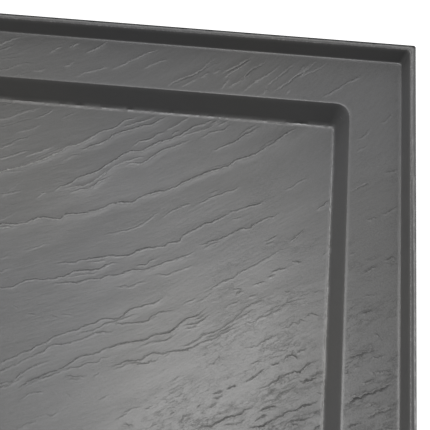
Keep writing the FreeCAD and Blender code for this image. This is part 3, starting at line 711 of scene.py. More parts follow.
def carry(piece: bpy.types.Object, name: str, values: np.ndarray) -> None:
    """Lets a mesh carry numbers or vectors at its points.

    Args:
        piece: the object.
        name: the attribute's name.
        values: one number or one row of three for each point.
    """
    vector = values.ndim == 2
    attribute = piece.data.attributes.new(name, "FLOAT_VECTOR" if vector else "FLOAT", "POINT")
    attribute.data.foreach_set("vector" if vector else "value", values.astype(np.float32).ravel())


# ---------------------------------------------------------------- the photograph's camera


@dataclass
class PhotoCamera:
    """The camera that took the photograph, as its straight edges fix it."""

    target: tuple = (402.5, 201.0, 182.0)
    azimuth: float = 5.09
    elevation: float = 75.05
    distance: float = 580.6
    focal: float = 566.6
    sensor: float = 36.0
    nearest: float = 0.01
    farthest: float = 50.0

    def axes(self) -> tuple[np.ndarray, np.ndarray, np.ndarray]:
        """The directions towards the camera, to the picture's right and to its top.

        Returns:
            Three unit vectors.
        """
        a = math.radians(self.azimuth)
        e = math.radians(self.elevation)
        back = np.array([math.sin(a) * math.cos(e), -math.cos(a) * math.cos(e), math.sin(e)])
        right = np.cross(-back, [0.0, 0.0, 1.0])
        right = right / np.linalg.norm(right)
        return back, right, np.cross(right, -back)

    def on_level(self, pixels: np.ndarray, level: np.ndarray | float) -> np.ndarray:
        """Where the rays through pixels meet a level.

        The ray is the viewing direction plus the pixel's offset over the focal length, along right and up.

        Args:
            pixels: (count, 2).
            level: height in millimetres, one or one for each pixel.

        Returns:
            Places in millimetres, as (count, 2).
        """
        back, right, up = self.axes()
        eye = np.array(self.target) + back * self.distance
        offset = (pixels - PHOTO_SIDE / 2.0) / self.focal
        rays = -back + offset[:, :1] * right - offset[:, 1:] * up
        reach = (level - eye[2]) / rays[:, 2]
        return (eye + rays * np.reshape(reach, (-1, 1)))[:, :2]

    def build(self) -> None:
        """Makes the camera and gives it to the scene."""
        back = self.axes()[0]
        data = bpy.data.cameras.new("photo_camera")
        data.sensor_width = self.sensor
        data.lens = self.focal / PHOTO_SIDE * self.sensor
        data.clip_start = self.nearest
        data.clip_end = self.farthest
        camera = bpy.data.objects.new("photo_camera", data)
        camera.location = [float(part) * MM for part in np.array(self.target) + back * self.distance]
        from_camera = Vector([float(-part) for part in back])
        camera.rotation_mode = "QUATERNION"
        camera.rotation_quaternion = from_camera.to_track_quat("-Z", "Y")
        bpy.context.scene.collection.objects.link(camera)
        bpy.context.scene.camera = camera


# ---------------------------------------------------------------- the slate's clefts


@dataclass(frozen=True)
class Cleft:
    """One cleft of the slate as read from the photograph, as x and y of one pixel after another.

    Its raised edge is in front of its dark line where it is read from the left, and behind it where it is
    read from the right. A cleft with no dark line is read along its raised edge.
    """

    pixels: tuple[float, ...]
    dark: float
    raised: float
    edge_shift: float = 1.8

    def line(self) -> np.ndarray:
        """The pixels of its dark line, as (count, 2)."""
        shift = 0.0 if self.dark else self.edge_shift
        return np.array(self.pixels, float).reshape(-1, 2) - (0.0, shift)


class Level(Enum):
    """The two levels of the tray that show slate."""

    FLOOR = "the floor of the basin"
    SHELF = "the shelf inside the upstand"


# each cleft as its pixels, how dark its line is and how raised its edge is
FLOOR_CLEFTS = (
    # the pale-edged steps at the back left
    ((8, 166, 20, 163.5, 33, 159.5, 45, 154, 50, 151.5, 60, 148, 67, 144.5, 76, 143), 0.5, 0.3),
    ((0, 173, 10, 169.5, 20, 167.5, 33, 163.5, 45, 159, 50, 156.5, 60, 152.5, 67, 147.5, 78, 145, 88, 140.5,
      97, 135, 102, 131.5), 0.0, 1.6),
    ((22, 159, 31, 155, 41, 152, 51, 148, 56, 146.5), 0.0, 0.8),
    ((78, 142.5, 84, 140, 88, 137, 93, 135, 97, 132.5, 103, 129.5, 110, 128, 118, 125, 123, 120, 130, 118,
      136, 116, 141, 113.5), 0.9, 0.9),
    ((76, 149.5, 84, 148, 90, 145.5, 100, 142.5, 105, 140, 110, 137, 113, 134, 120, 131.5, 128, 129, 135, 127,
      141, 125, 150, 124, 156, 121, 160, 118.5, 166, 116, 170, 115), 1.1, 1.5),
    ((120, 128.5, 130, 125.5, 140, 122.5, 150, 119.5, 156, 115), 0.0, 0.9),
    ((130, 148, 134, 144, 139, 140.5, 147, 139, 152, 137.5, 156, 134, 162, 131.5, 169, 130), 0.9, 0.9),
    ((164, 132, 172, 128, 180, 123.5, 186, 119.5, 191, 117), 0.0, 1.0),
    ((171, 134, 175, 131.5, 179, 129.5), 0.8, 1.0),
    ((50, 191, 56, 188.5, 60, 186, 70, 182.5, 78, 177, 88, 173.5, 97, 170.5, 105, 165.5, 112, 161, 120, 156,
      128, 151, 141, 150, 147, 147, 153, 144, 158, 141.5, 168, 139, 174, 136.5, 180, 134.5, 185, 131,
      190, 128, 195, 125, 200, 124, 205, 121, 209, 119.5), 1.2, 1.3),
    ((60, 190, 75, 187, 85, 186, 98, 178.5, 110, 169.5, 120, 164, 136, 159, 146, 156.5), 0.0, 1.2),
    ((66, 193, 80, 188.5, 86, 188, 94, 184.5, 99, 180.5, 104, 178, 112, 174), 0.7, 1.2),
    ((34, 198, 38, 196, 42, 192.5, 47, 191), 0.5, 0.6),
    ((122, 168, 125, 165, 130, 162, 140, 162.5, 146, 160, 150, 157, 156, 153, 160, 150, 164, 148.5,
      170, 146.5, 176, 144.5, 184, 141, 192, 138), 0.8, 1.1),
    ((178, 139, 190, 134, 206, 129.5, 214, 125, 223, 121), 0.0, 1.0),
    ((198, 138, 205, 134.5, 210, 131.5, 216, 130, 223, 129, 227, 126, 232, 122), 0.8, 0.7),
    ((200, 125.5, 204, 123, 208, 121, 213, 118.5), 0.7, 0.6),
    ((209, 127, 212, 124.5, 216, 122, 221, 119), 0.0, 0.9),
    ((217, 127, 221, 125, 225, 123, 229, 121), 0.0, 1.0),
    ((210, 150.5, 214, 149.5, 218, 147.5, 224, 145, 230, 142.5, 235, 141, 238, 139, 241, 136.5, 244, 134,
      249, 132, 253, 130, 257, 127.5, 262, 124.5), 1.2, 1.2),
    ((237, 137, 240, 134, 243, 131, 248, 128.5, 253, 125.5, 257, 123), 0.9, 0.5),
    ((0, 120, 10, 118, 22, 113, 35, 110, 45, 105.5), 0.0, 0.5),
    ((33, 117.5, 46, 113, 55, 106.5), 0.4, 0.4),
    ((12, 136, 20, 132, 33, 129, 42, 124), 0.0, 0.5),
    ((60, 118, 66, 115, 77, 111), 0.4, 0.3),
    ((60, 161, 72, 155, 80, 153), 0.4, 0.4),
    # the long cleft from the left edge towards the back right corner
    ((0, 223.5, 4, 222.5, 11, 223.5, 18, 223, 22, 222, 27, 221.5, 30, 220, 34, 218.5, 39, 217, 45, 216.5,
      52, 217.5, 60, 218, 63, 216, 66, 213, 74, 213, 86, 212, 91, 210.5, 100, 208, 105, 206, 110, 203,
      118, 202, 133, 201, 137, 198, 141, 196, 150, 193, 157, 191, 165, 190, 172, 187, 177, 186, 181, 182,
      187, 180, 193, 177, 198, 175.5, 203, 173.5, 209, 170.5, 214, 169.5, 222, 167, 231, 164, 234, 160.5,
      238, 158.5, 243, 157.5, 250, 155, 255, 153.5, 260, 150, 265, 147, 270, 144, 275, 141, 279, 138,
      284, 134, 291, 130, 299, 126), 1.1, 1.1),
    ((0, 228.5, 10, 228, 18, 227), 0.0, 1.9),
    ((210, 167.5, 216, 166, 222, 165, 229, 163, 232, 161), 0.6, 0.3),
    ((258, 149.5, 264, 144.5, 268, 142, 272, 139.5, 277, 137), 0.7, 0.2),
    ((282, 190, 288, 187.5, 292, 186, 295, 183.5, 298, 181.5, 301, 180, 304, 178.5, 309, 177.5), 0.6, 0.4),
    ((100, 234, 108, 233, 115, 232, 121, 230, 131, 228, 138, 225, 143, 222.5, 150, 217, 158, 211,
      163, 206), 0.5, 0.3),
    ((160, 218, 164, 215, 168, 212, 172, 210, 176, 208, 184, 204.5, 192, 201.5), 1.0, 0.9),
    ((193, 206, 200, 202, 207, 199, 211, 196.5, 217, 194.5, 222, 193, 227, 190.5, 232, 189.5, 236, 187.5,
      240, 185, 244, 184), 0.8, 0.8),
    ((208, 193, 214, 191, 219, 189), 0.4, 0.3),
    ((22, 250, 30, 247.5, 36, 246, 44, 243, 50, 241.5), 0.4, 0.2),
    ((0, 257, 6, 255.5, 11, 252, 18, 253), 0.5, 0.2),
    # the three clefts across the middle
    ((50, 264, 57, 262.5, 62, 262, 70, 262, 75, 261.5, 80, 259.5, 86, 258.5, 92, 257.5, 98, 257, 104, 256,
      110, 255, 122, 255, 129, 254.5, 132, 253, 136, 251, 140, 249.5, 147, 247, 152, 247, 158, 246,
      164, 245.5, 167, 243, 169, 241.5, 175, 241.5, 180, 240, 181, 236, 184, 234, 189, 231.5, 194, 229,
      200, 226, 204, 223, 209, 222, 213, 221, 218, 218.5, 223, 215.5, 228, 213, 231, 210.5, 237, 210,
      241, 208, 246, 206.5, 251, 205, 256, 204, 260, 202.5, 263, 200, 266, 197.5, 269, 195.5), 1.2, 0.5),
    ((0, 287, 5, 287, 11, 286.5, 15, 285, 19, 282.5, 25, 280, 30, 279, 35, 278.5, 42, 279, 49, 278, 55, 278,
      60, 276, 66, 275, 70, 272.5, 75, 270.5, 80, 270, 88, 269.5, 95, 269, 99, 268.5, 103, 266, 107, 264,
      111, 262, 120, 262), 1.2, 0.8),
    ((49, 283.5, 55, 282.5, 62, 282, 70, 281.5, 76, 282, 80, 281, 86, 279, 90, 278, 95, 278, 100, 277.5,
      104, 276, 110, 274.5, 117, 274, 121, 273, 126, 271, 130, 270, 134, 269, 145, 269, 148, 267.5,
      155, 265.5, 159, 264, 166, 261, 171, 260, 177, 257.5, 182, 256, 187, 254, 192, 252,
      196, 249), 0.9, 0.8),
    ((64, 278.5, 76, 276.5, 88, 275, 98, 274), 0.0, 0.9),
    ((86, 263, 100, 262, 106, 261), 0.0, 0.7),
    ((134, 265, 140, 264.5, 146, 264, 149, 261, 152, 259, 157, 257), 0.9, 0.8),
    ((196, 246.5, 199, 244, 206, 243, 209, 241.5, 213, 240, 218, 238.5, 222, 237.5, 226, 235.5, 230, 233.5,
      234, 231, 238, 229.5, 243, 227.5, 250, 228, 252, 225, 256, 222.5, 260, 220.5, 264, 218, 268, 217,
      273, 216, 276, 214, 279, 212, 284, 209.5), 1.0, 0.6),
    ((202, 249, 207, 245.5, 213, 243, 221, 240), 0.3, 0.5),
    ((152, 274, 160, 273.5, 168, 274, 174, 271, 182, 268, 190, 265.5, 196, 262), 0.3, 0.3),
    ((113, 285, 119, 286, 124, 285, 129, 286, 134, 284.5, 138, 282, 143, 281, 149, 281), 0.6, 0.3),
    ((200, 295, 205, 291.5, 210, 289, 219, 283, 224, 280, 229, 278.5, 235, 276, 238, 272, 243, 270,
      252, 265.5, 257, 263.5, 262, 260, 268, 257, 277, 251, 282, 248.5, 287, 246.5), 0.6, 0.3),
    ((182, 304, 186, 301.5, 192, 299, 198, 296.5), 0.5, 0.2),
    ((194, 303, 199, 300.5, 205, 297, 211, 292, 216, 290), 0.5, 0.2),
    ((262, 241.5, 270, 239, 275, 236, 278, 233.5), 0.7, 0.3),
    ((264, 243.5, 270, 242.5, 274, 240.5), 0.6, 0.3),
    ((288, 243.5, 291, 240, 294, 237, 297, 235, 300, 232, 304, 228), 0.6, 0.9),
    ((291, 260.5, 294, 261, 303, 261.5), 0.8, 0.2),
    ((316, 209.5, 319, 207, 322, 205, 326, 202, 329, 199), 0.9, 0.9),
    ((232, 218, 237, 217.5, 241, 216), 0.5, 0.3),
    # broken lines right of the middle
    ((267, 278, 270, 276, 275, 274), 1.0, 0.4),
    ((270, 273, 275, 270, 279, 269, 283, 268, 288, 265.5), 0.7, 0.3),
    ((252, 285, 254, 283.5, 258, 283, 262, 281.5, 266, 280), 0.8, 0.4),
    ((233, 288, 236, 289, 239, 288, 243, 289), 0.5, 0.2),
    ((235, 295, 238, 292, 243, 290), 0.7, 0.3),
    ((221, 308.5, 226, 306, 230, 303.5, 236, 301.5, 241, 299.5), 0.5, 0.2),
    ((248, 297, 252, 295.5, 257, 293.5), 0.7, 0.4),
    ((284, 291, 287, 291.5, 291, 290), 0.5, 0.2),
    ((303, 304, 307, 300), 0.4, 0.2),
    ((313, 293, 317, 291, 322, 290), 0.4, 0.2),
    ((322, 257, 324, 253, 327, 249), 0.5, 0.2),
    # the strands at the front left
    ((12, 303.5, 16, 306, 20, 309), 0.4, 0.2),
    ((23, 313.5, 28, 313.5, 33, 313, 37, 315), 0.7, 0.2),
    ((50, 314, 54, 315.5, 60, 318), 0.4, 0.1),
    ((60, 313.5, 66, 313.5, 75, 315), 0.3, 0.1),
    ((0, 326, 4, 325, 8, 327, 11, 327.5), 0.7, 0.3),
    ((0, 363, 5, 360, 10, 358, 15, 356, 20, 353, 24, 351, 30, 350, 36, 345.5, 42, 343, 47, 341, 50, 338,
      55, 335.5, 60, 334, 65, 332, 72, 330, 78, 329, 81, 326.5, 86, 325, 91, 323.5, 96, 322, 100, 319,
      105, 318, 116, 318.5, 120, 317, 124, 314, 127, 311, 130, 309.5, 134, 307.5, 140, 306, 147, 304,
      152, 303, 157, 301.5, 160, 298.5, 168, 296), 1.0, 0.4),
    ((0, 371, 4, 369, 8, 367, 13, 365, 18, 362.5, 22, 360, 27, 357.5, 32, 355.5, 40, 352, 43, 351, 47, 347,
      51, 345, 56, 343.5, 62, 343.5, 70, 342, 74, 340, 80, 339, 85, 337, 90, 335, 94, 332.5, 104, 331.5,
      111, 331.5, 113, 329, 116, 326), 0.8, 0.4),
    ((70, 336, 75, 334.5, 80, 332.5, 86, 331, 92, 330, 95, 328, 100, 326, 105, 323, 113, 321.5, 120, 319,
      125, 317, 130, 315, 134, 313.5, 141, 311), 0.7, 0.3),
    ((107, 327, 111, 324, 115, 323.5, 124, 323, 129, 322.5, 145, 321, 149, 318.5, 152, 315, 156, 313,
      162, 311, 168, 311, 174, 309, 180, 306), 0.7, 0.2),
    ((149, 320, 153, 317.5, 157, 315), 0.6, 0.2),
    ((0, 383, 6, 382, 12, 381.5, 16, 377, 20, 374, 24, 371, 28, 368.5, 32, 366, 37, 364, 42, 362,
      52, 359.5), 0.9, 0.4),
    ((0, 387, 6, 385.5, 11, 383.5, 17, 380, 22, 376, 27, 371.5), 0.7, 0.4),
    ((12, 390, 17, 388, 21, 386, 25, 383, 29, 380.5, 33, 378.5, 38, 377, 44, 374, 50, 371.5, 55, 370.5,
      60, 368.5, 65, 366.5, 68, 363.5, 72, 361.5, 76, 358, 80, 356, 86, 354.5, 98, 352, 104, 348.5,
      110, 346.5, 115, 345, 120, 343.5, 130, 341.5, 141, 340, 146, 338.5, 151, 336, 156, 334, 161, 334,
      165, 332.5, 170, 331.5, 174, 328.5, 178, 325, 181, 322, 186, 319, 190, 317, 196, 316, 199, 313.5,
      204, 309, 208, 306.5), 1.1, 0.4),
    ((15, 392, 20, 389, 25, 386, 30, 383, 36, 380, 41, 378, 47, 376.5, 52, 374.5, 57, 372, 62, 370, 66, 368.5,
      71, 367, 77, 366.5, 82, 365, 87, 362.5, 97, 361.5, 100, 358, 104, 357, 107, 357, 111, 355,
      116, 353.5), 0.7, 0.4),
    ((18, 400, 23, 397, 26, 394.5, 30, 392.5, 35, 391.5, 43, 391.5, 44, 394), 0.9, 0.9),
    ((63, 377, 68, 375.5, 74, 376, 84, 376, 87, 377), 0.8, 0.4),
    ((65, 378.7, 75, 378.7, 83, 378.2), 0.5, 0.2),
    ((93, 374.5, 97, 374, 100, 371.5), 0.4, 0.2),
    ((13, 428, 18, 427, 22, 426, 25, 423.5, 34, 421, 38, 417), 0.7, 0.3),
    ((31, 418, 37, 416, 44, 414, 52, 415, 56, 412, 59, 410), 0.6, 0.3),
    ((64, 392, 67, 393.5, 70, 396, 72, 398.5), 0.4, 0.1),
    ((53, 388, 56, 391, 59, 396), 0.3, 0.1),
    ((97, 401, 99, 399, 104, 396.5, 108, 394), 0.5, 0.2),
    # the strands in front of the middle
    ((136, 348.5, 139, 346.5, 144, 344, 148, 343.5, 152, 341.5, 163, 340, 168, 338.5, 172, 336, 176, 333,
      179, 330), 0.8, 0.3),
    ((181, 327, 185, 324.5, 190, 323.5, 195, 323, 200, 321, 204, 318.5, 207, 316, 210, 312.5), 0.9, 0.3),
    ((183, 328.5, 188, 327.5, 193, 327, 198, 325), 0.6, 0.2),
    ((194, 319, 199, 318, 202, 315, 206, 312), 0.6, 0.2),
    ((105, 367.5, 110, 366.5, 115, 365, 120, 363, 125, 361, 134, 360, 141, 359.5, 144, 356.5, 148, 354,
      153, 352.5, 163, 353, 168, 352, 175, 350.5, 180, 350.5, 186, 349.5, 190, 348, 196, 345, 202, 342,
      206, 340, 212, 339, 217, 336.5, 222, 333, 227, 330.5, 232, 329, 237, 326, 241, 323), 0.8, 0.3),
    ((106, 370, 111, 368.5, 117, 367.5, 122, 366, 127, 363, 135, 362.5, 140, 363.5, 146, 363, 151, 361,
      156, 359.5, 158, 357, 161, 354.5), 0.7, 0.3),
    ((164, 355, 170, 353.5), 0.6, 0.2),
    ((176, 347, 183, 345, 188, 344, 193, 341.5, 198, 338.5, 203, 335, 210, 332.5, 216, 330.5, 221, 327.5,
      226, 324.5, 231, 321, 236, 317, 240, 313.5, 244, 308.5, 248, 305.5, 252, 303, 257, 301, 261, 297.5,
      270, 295), 0.8, 0.3),
    ((200, 340, 207, 337, 213, 335.5, 219, 332, 225, 329, 230, 326.5, 235, 323.5, 240, 320.5), 0.6, 0.2),
    ((198, 336, 203, 333.5, 210, 331), 0.6, 0.2),
    ((232, 321.5, 238, 318, 245, 314, 250, 310.5, 254, 308), 0.7, 0.3),
    ((254, 303.5, 258, 302, 263, 299.5), 0.6, 0.2),
    ((242, 320, 247, 321.5, 252, 322, 255, 321, 258, 318, 262, 315.5, 267, 315.5, 271, 312, 276, 311,
      280, 307.5, 284, 304.5, 288, 302, 292, 300.5, 300, 299, 304, 297.5, 312, 296.5), 0.7, 0.3),
    ((262, 312.5, 268, 310.5, 273, 307.5, 278, 305, 284, 302.2), 0.5, 0.2),
    ((170, 379.5, 174, 379, 176, 376.5, 180, 375), 0.3, 0.2),
    ((201, 355, 205, 354.5, 208, 352), 0.3, 0.1),
    ((204, 365.5, 209, 363.5, 213, 363, 216, 359.5, 219, 356, 222, 358, 225, 359.5), 0.4, 0.2),
    # jagged cracks at the front right
    ((280, 328, 285, 327, 290, 325.5, 294, 322, 298, 323.5, 300, 319.5, 304, 320, 309, 320.5), 0.9, 0.4),
    ((304, 317, 308, 315, 311, 312.5, 315, 314, 321, 315), 0.8, 0.4),
    ((240, 349.5, 246, 347, 250, 347, 255, 345.5, 259, 344, 263, 341, 267, 339, 272, 336,
      278, 334.5), 0.7, 0.3),
    ((250, 364, 255, 362, 258, 361, 263, 359.5), 0.6, 0.2),
    ((271, 364.5, 275, 364, 280, 362.5), 1.0, 0.3),
    ((282, 362, 285, 360, 286, 357, 291, 354.5, 295, 355, 298, 357.5, 301, 358), 0.9, 0.3),
    ((296, 351.5, 302, 350, 308, 348), 0.6, 0.2),
    ((243, 383, 247, 381, 251, 379, 255, 376, 259, 373, 263, 369.5, 266, 367), 1.3, 0.3),
    ((226, 389, 232, 386.5, 238, 385), 1.3, 0.3),
    ((212, 394, 219, 392, 224, 390), 1.0, 0.3),
    ((212, 398, 217, 398, 220, 396.5, 223, 393.5), 0.7, 0.2),
    ((206, 407, 211, 406.5, 215, 403.5, 219, 401), 0.7, 0.2),
    ((253, 387.5, 263, 387.5, 267, 385.5, 270, 383.5, 275, 380.5, 280, 377.5, 285, 375, 290, 373, 295, 371.5,
      301, 370.5, 304, 367, 307, 364.5, 311, 362, 315, 361, 319, 359.5, 323, 358.5), 1.1, 0.3),
    ((298, 380, 301, 381, 304, 382.5, 307, 379.5, 313, 379.5, 318, 377.5), 1.1, 0.5),
    ((309, 376.5, 314, 375, 317, 374, 321, 370), 0.9, 0.4),
    ((274, 398, 277, 396, 281, 393, 285, 392, 289, 390, 293, 387, 299, 384.5), 0.8, 0.4),
    ((268, 395, 272, 391.5, 277, 389), 0.6, 0.3),
    ((318, 391, 320, 394, 323, 392), 0.7, 0.3),
    ((194, 429, 197, 428, 200, 427, 206, 426, 212, 426, 216, 423.5, 221, 420.5, 224, 418, 228, 417, 233, 416,
      237, 415, 241, 413, 245, 410, 248, 408.5, 251, 407, 254, 405, 258, 402), 1.1, 0.4),
    ((220, 426.5, 226, 424.5, 231, 423.5, 236, 424, 241, 421.5, 248, 417.5), 0.9, 0.3),
    ((257, 412.5, 261, 410.5, 265, 408, 270, 407, 280, 406), 1.3, 0.4),
    ((253, 421.5, 258, 418.5, 262, 416.5, 268, 414.5), 1.5, 0.4),
    ((243, 430, 250, 427.5, 257, 427, 262, 426, 266, 423.5, 271, 421, 276, 418.5, 281, 416, 286, 413,
      291, 411, 297, 410, 301, 407, 305, 405.5, 311, 404, 316, 402, 320, 399, 322, 397), 1.6, 0.4),
    ((281, 429, 287, 423, 290, 421, 295, 420, 300, 420, 305, 419, 313, 416.5), 1.1, 0.5),
    ((290, 423.5, 296, 424.5, 300, 425.5), 0.8, 0.3),
    ((313, 429, 318, 427, 321, 424), 1.1, 0.4),
    ((312, 413, 317, 411.5, 321, 412), 0.7, 0.4),
    ((120, 411.5, 128, 410, 132, 408, 135, 406.5, 140, 406.5, 143, 406), 0.55, 0.2),
    ((114, 420, 120, 416.5, 124, 414, 128, 412.5), 0.55, 0.2),
    ((145, 408, 148, 408, 152, 405.5), 0.6, 0.2),
    ((150, 427, 153, 424.5, 158, 423.5), 0.5, 0.2),
    ((122, 422.5, 128, 424.5, 134, 424.5), 0.6, 0.2),
    ((169, 415, 172, 412.5, 175, 411), 0.6, 0.2),
    ((176, 424, 181, 420, 184, 416.5, 188, 415, 194, 413), 0.6, 0.2),
    ((183, 421.5, 186, 419.5, 193, 417), 0.4, 0.1),
    ((197, 407, 201, 404.5), 0.8, 0.2),
)

SHELF_CLEFTS = (
    # pale ridges of the back shelf, each with its dark side in front of it
    ((0, 45.5, 5, 43, 10, 41, 18, 38, 24, 35.5), 0.0, 1.3),
    ((47, 55, 55, 50, 62, 47), 0.0, 0.7),
    ((68, 46, 73, 44.5, 79, 41.5), 0.6, 1.2),
    ((84, 52, 92, 49.5, 98, 46.5, 103, 43.5, 108, 39), 0.7, 1.3),
    ((64, 67, 70, 65, 73, 62), 0.0, 0.8),
    ((30, 71, 40, 71, 46, 69), 0.0, 0.5),
    ((108, 72, 113, 69, 122, 66, 130, 61, 138, 58, 146, 54, 155, 51, 161, 49), 0.0, 0.9),
    ((72, 79, 77, 77, 85, 73, 95, 71, 103, 69, 112, 66), 0.0, 0.6),
    ((141, 70, 150, 66, 160, 62, 171, 60), 0.0, 0.6),
    ((218, 58, 212, 62, 208, 65.5, 204, 70, 199, 73, 193, 76, 187, 78, 181, 80.5, 173, 84,
      167, 89), 0.9, 1.5),
    ((179, 88.5, 184, 85.5, 191, 82, 200, 77), 0.0, 0.9),
    ((202, 77.5, 207, 74), 0.0, 1.2),
    ((203, 70.5, 210, 65.5, 216, 63, 222, 61), 0.5, 0.2),
    ((254, 56.5, 249, 60, 243, 64, 236, 68, 229, 71, 222, 75), 1.0, 1.5),
    ((213, 73.5, 219, 71), 0.0, 1.1),
    ((220, 90.5, 224, 85, 230, 79), 0.0, 1.1),
    ((221, 80.5, 228, 75, 233, 72, 240, 68, 247, 63, 251, 60), 0.0, 1.4),
    ((226, 89.5, 234, 84.5, 241, 81.5, 246, 77, 250, 73), 0.0, 1.1),
    ((271, 58, 267, 62, 260, 66.5, 253, 70, 248, 75, 242, 80.5, 236, 86, 229, 91), 0.9, 0.5),
    ((238, 94.5, 245, 90, 250, 86, 258, 81, 265, 77, 272, 72, 277, 68, 281, 64), 0.0, 1.2),
    ((298, 62, 291, 68, 284, 74, 277, 79.5, 270, 85, 264, 91), 0.5, 0.7),
    ((262, 95.5, 266, 90), 0.0, 1.3),
    ((316, 61, 311, 65, 306, 71, 300, 75, 294, 79, 289, 83.5, 284, 86.5, 278, 90, 273, 95), 0.9, 1.2),
    ((286, 95, 290, 90), 0.0, 0.8),
    ((295, 76, 300, 71, 305, 66), 0.0, 0.9),
    ((319, 60.5, 312, 67, 306, 73, 300, 79), 0.4, 1.0),
    ((329, 63, 322, 68.5, 316, 71, 308, 74.5, 301, 79), 0.5, 0.9),
    ((318, 99, 323, 95.5, 330, 92, 336, 88.5, 342, 85, 348, 80.5, 354, 79, 362, 74, 367, 71), 0.8, 0.6),
    # the right shelf, calm at the back and broken at the front
    ((379, 122, 384, 121.5, 387, 118, 391, 115, 393, 112), 0.6, 0.4),
    ((355, 139, 361, 137, 365, 134, 369, 130, 373, 127.5), 0.7, 0.4),
    ((353, 150.5, 358, 149, 363, 147, 369, 143.5), 0.4, 0.3),
    ((383, 173, 388, 171, 393, 170.5, 400, 167.5), 0.5, 0.3),
    ((372, 180.5, 368, 184, 364, 185.5, 357, 189, 354, 191, 350, 193), 0.8, 0.9),
    ((366, 217, 370, 219, 374, 217.5, 379, 218), 0.5, 0.5),
    ((380, 212, 384, 213, 388, 211.5, 392, 209, 396, 207.5, 400, 202), 0.8, 0.5),
    ((349, 254, 352, 252.5, 356, 252), 0.5, 0.4),
    ((383, 259.5, 388, 259, 391, 257, 394, 257.5, 397, 259), 1.1, 0.7),
    ((362, 272, 370, 269, 374, 267, 379, 264.5), 0.7, 0.5),
    ((362, 296, 369, 294, 374, 295, 378, 291), 0.4, 0.3),
    ((361, 314.5, 364, 312.5, 368, 311, 374, 310), 1.0, 0.5),
    ((374, 332.5, 378, 334, 381, 337), 0.5, 0.3),
    ((379, 350, 374, 351, 370, 352, 365, 353.5, 360, 355.5, 354, 357, 350, 359, 345, 359), 1.0, 0.9),
    ((371, 356, 376, 357, 380, 355.5, 386, 354), 0.7, 0.6),
    ((354, 367.5, 361, 365.5), 0.6, 0.4),
    ((345, 372, 351, 371), 0.7, 0.5),
    ((374, 371.5, 382, 371, 392, 370.5), 0.6, 0.5),
    ((380, 376, 386, 374), 0.6, 0.3),
    ((371, 371.5, 376, 376), 0.0, 1.2),
    ((362, 381, 367, 382, 370, 380, 375, 377.5), 0.8, 0.6),
    ((399, 384.5, 393, 385, 388, 386.5, 384, 389, 380, 390.5, 376, 391.5, 373, 394, 367, 394.5, 363, 396,
      360, 398.5, 355, 398.5, 354, 401, 350, 403.5, 346, 405, 342, 406.5), 1.5, 1.0),
    ((399, 407.5, 391, 409, 385, 411.5, 379, 412.5, 375, 415, 370, 417.5, 364, 418.5), 0.9, 0.7),
    ((366, 405, 373, 404, 380, 406), 0.0, 1.1),
    ((345, 428, 350, 427, 355, 423.5, 364, 422), 0.8, 0.5),
    ((386, 430, 390, 428.5, 394, 427), 1.0, 0.6),
)


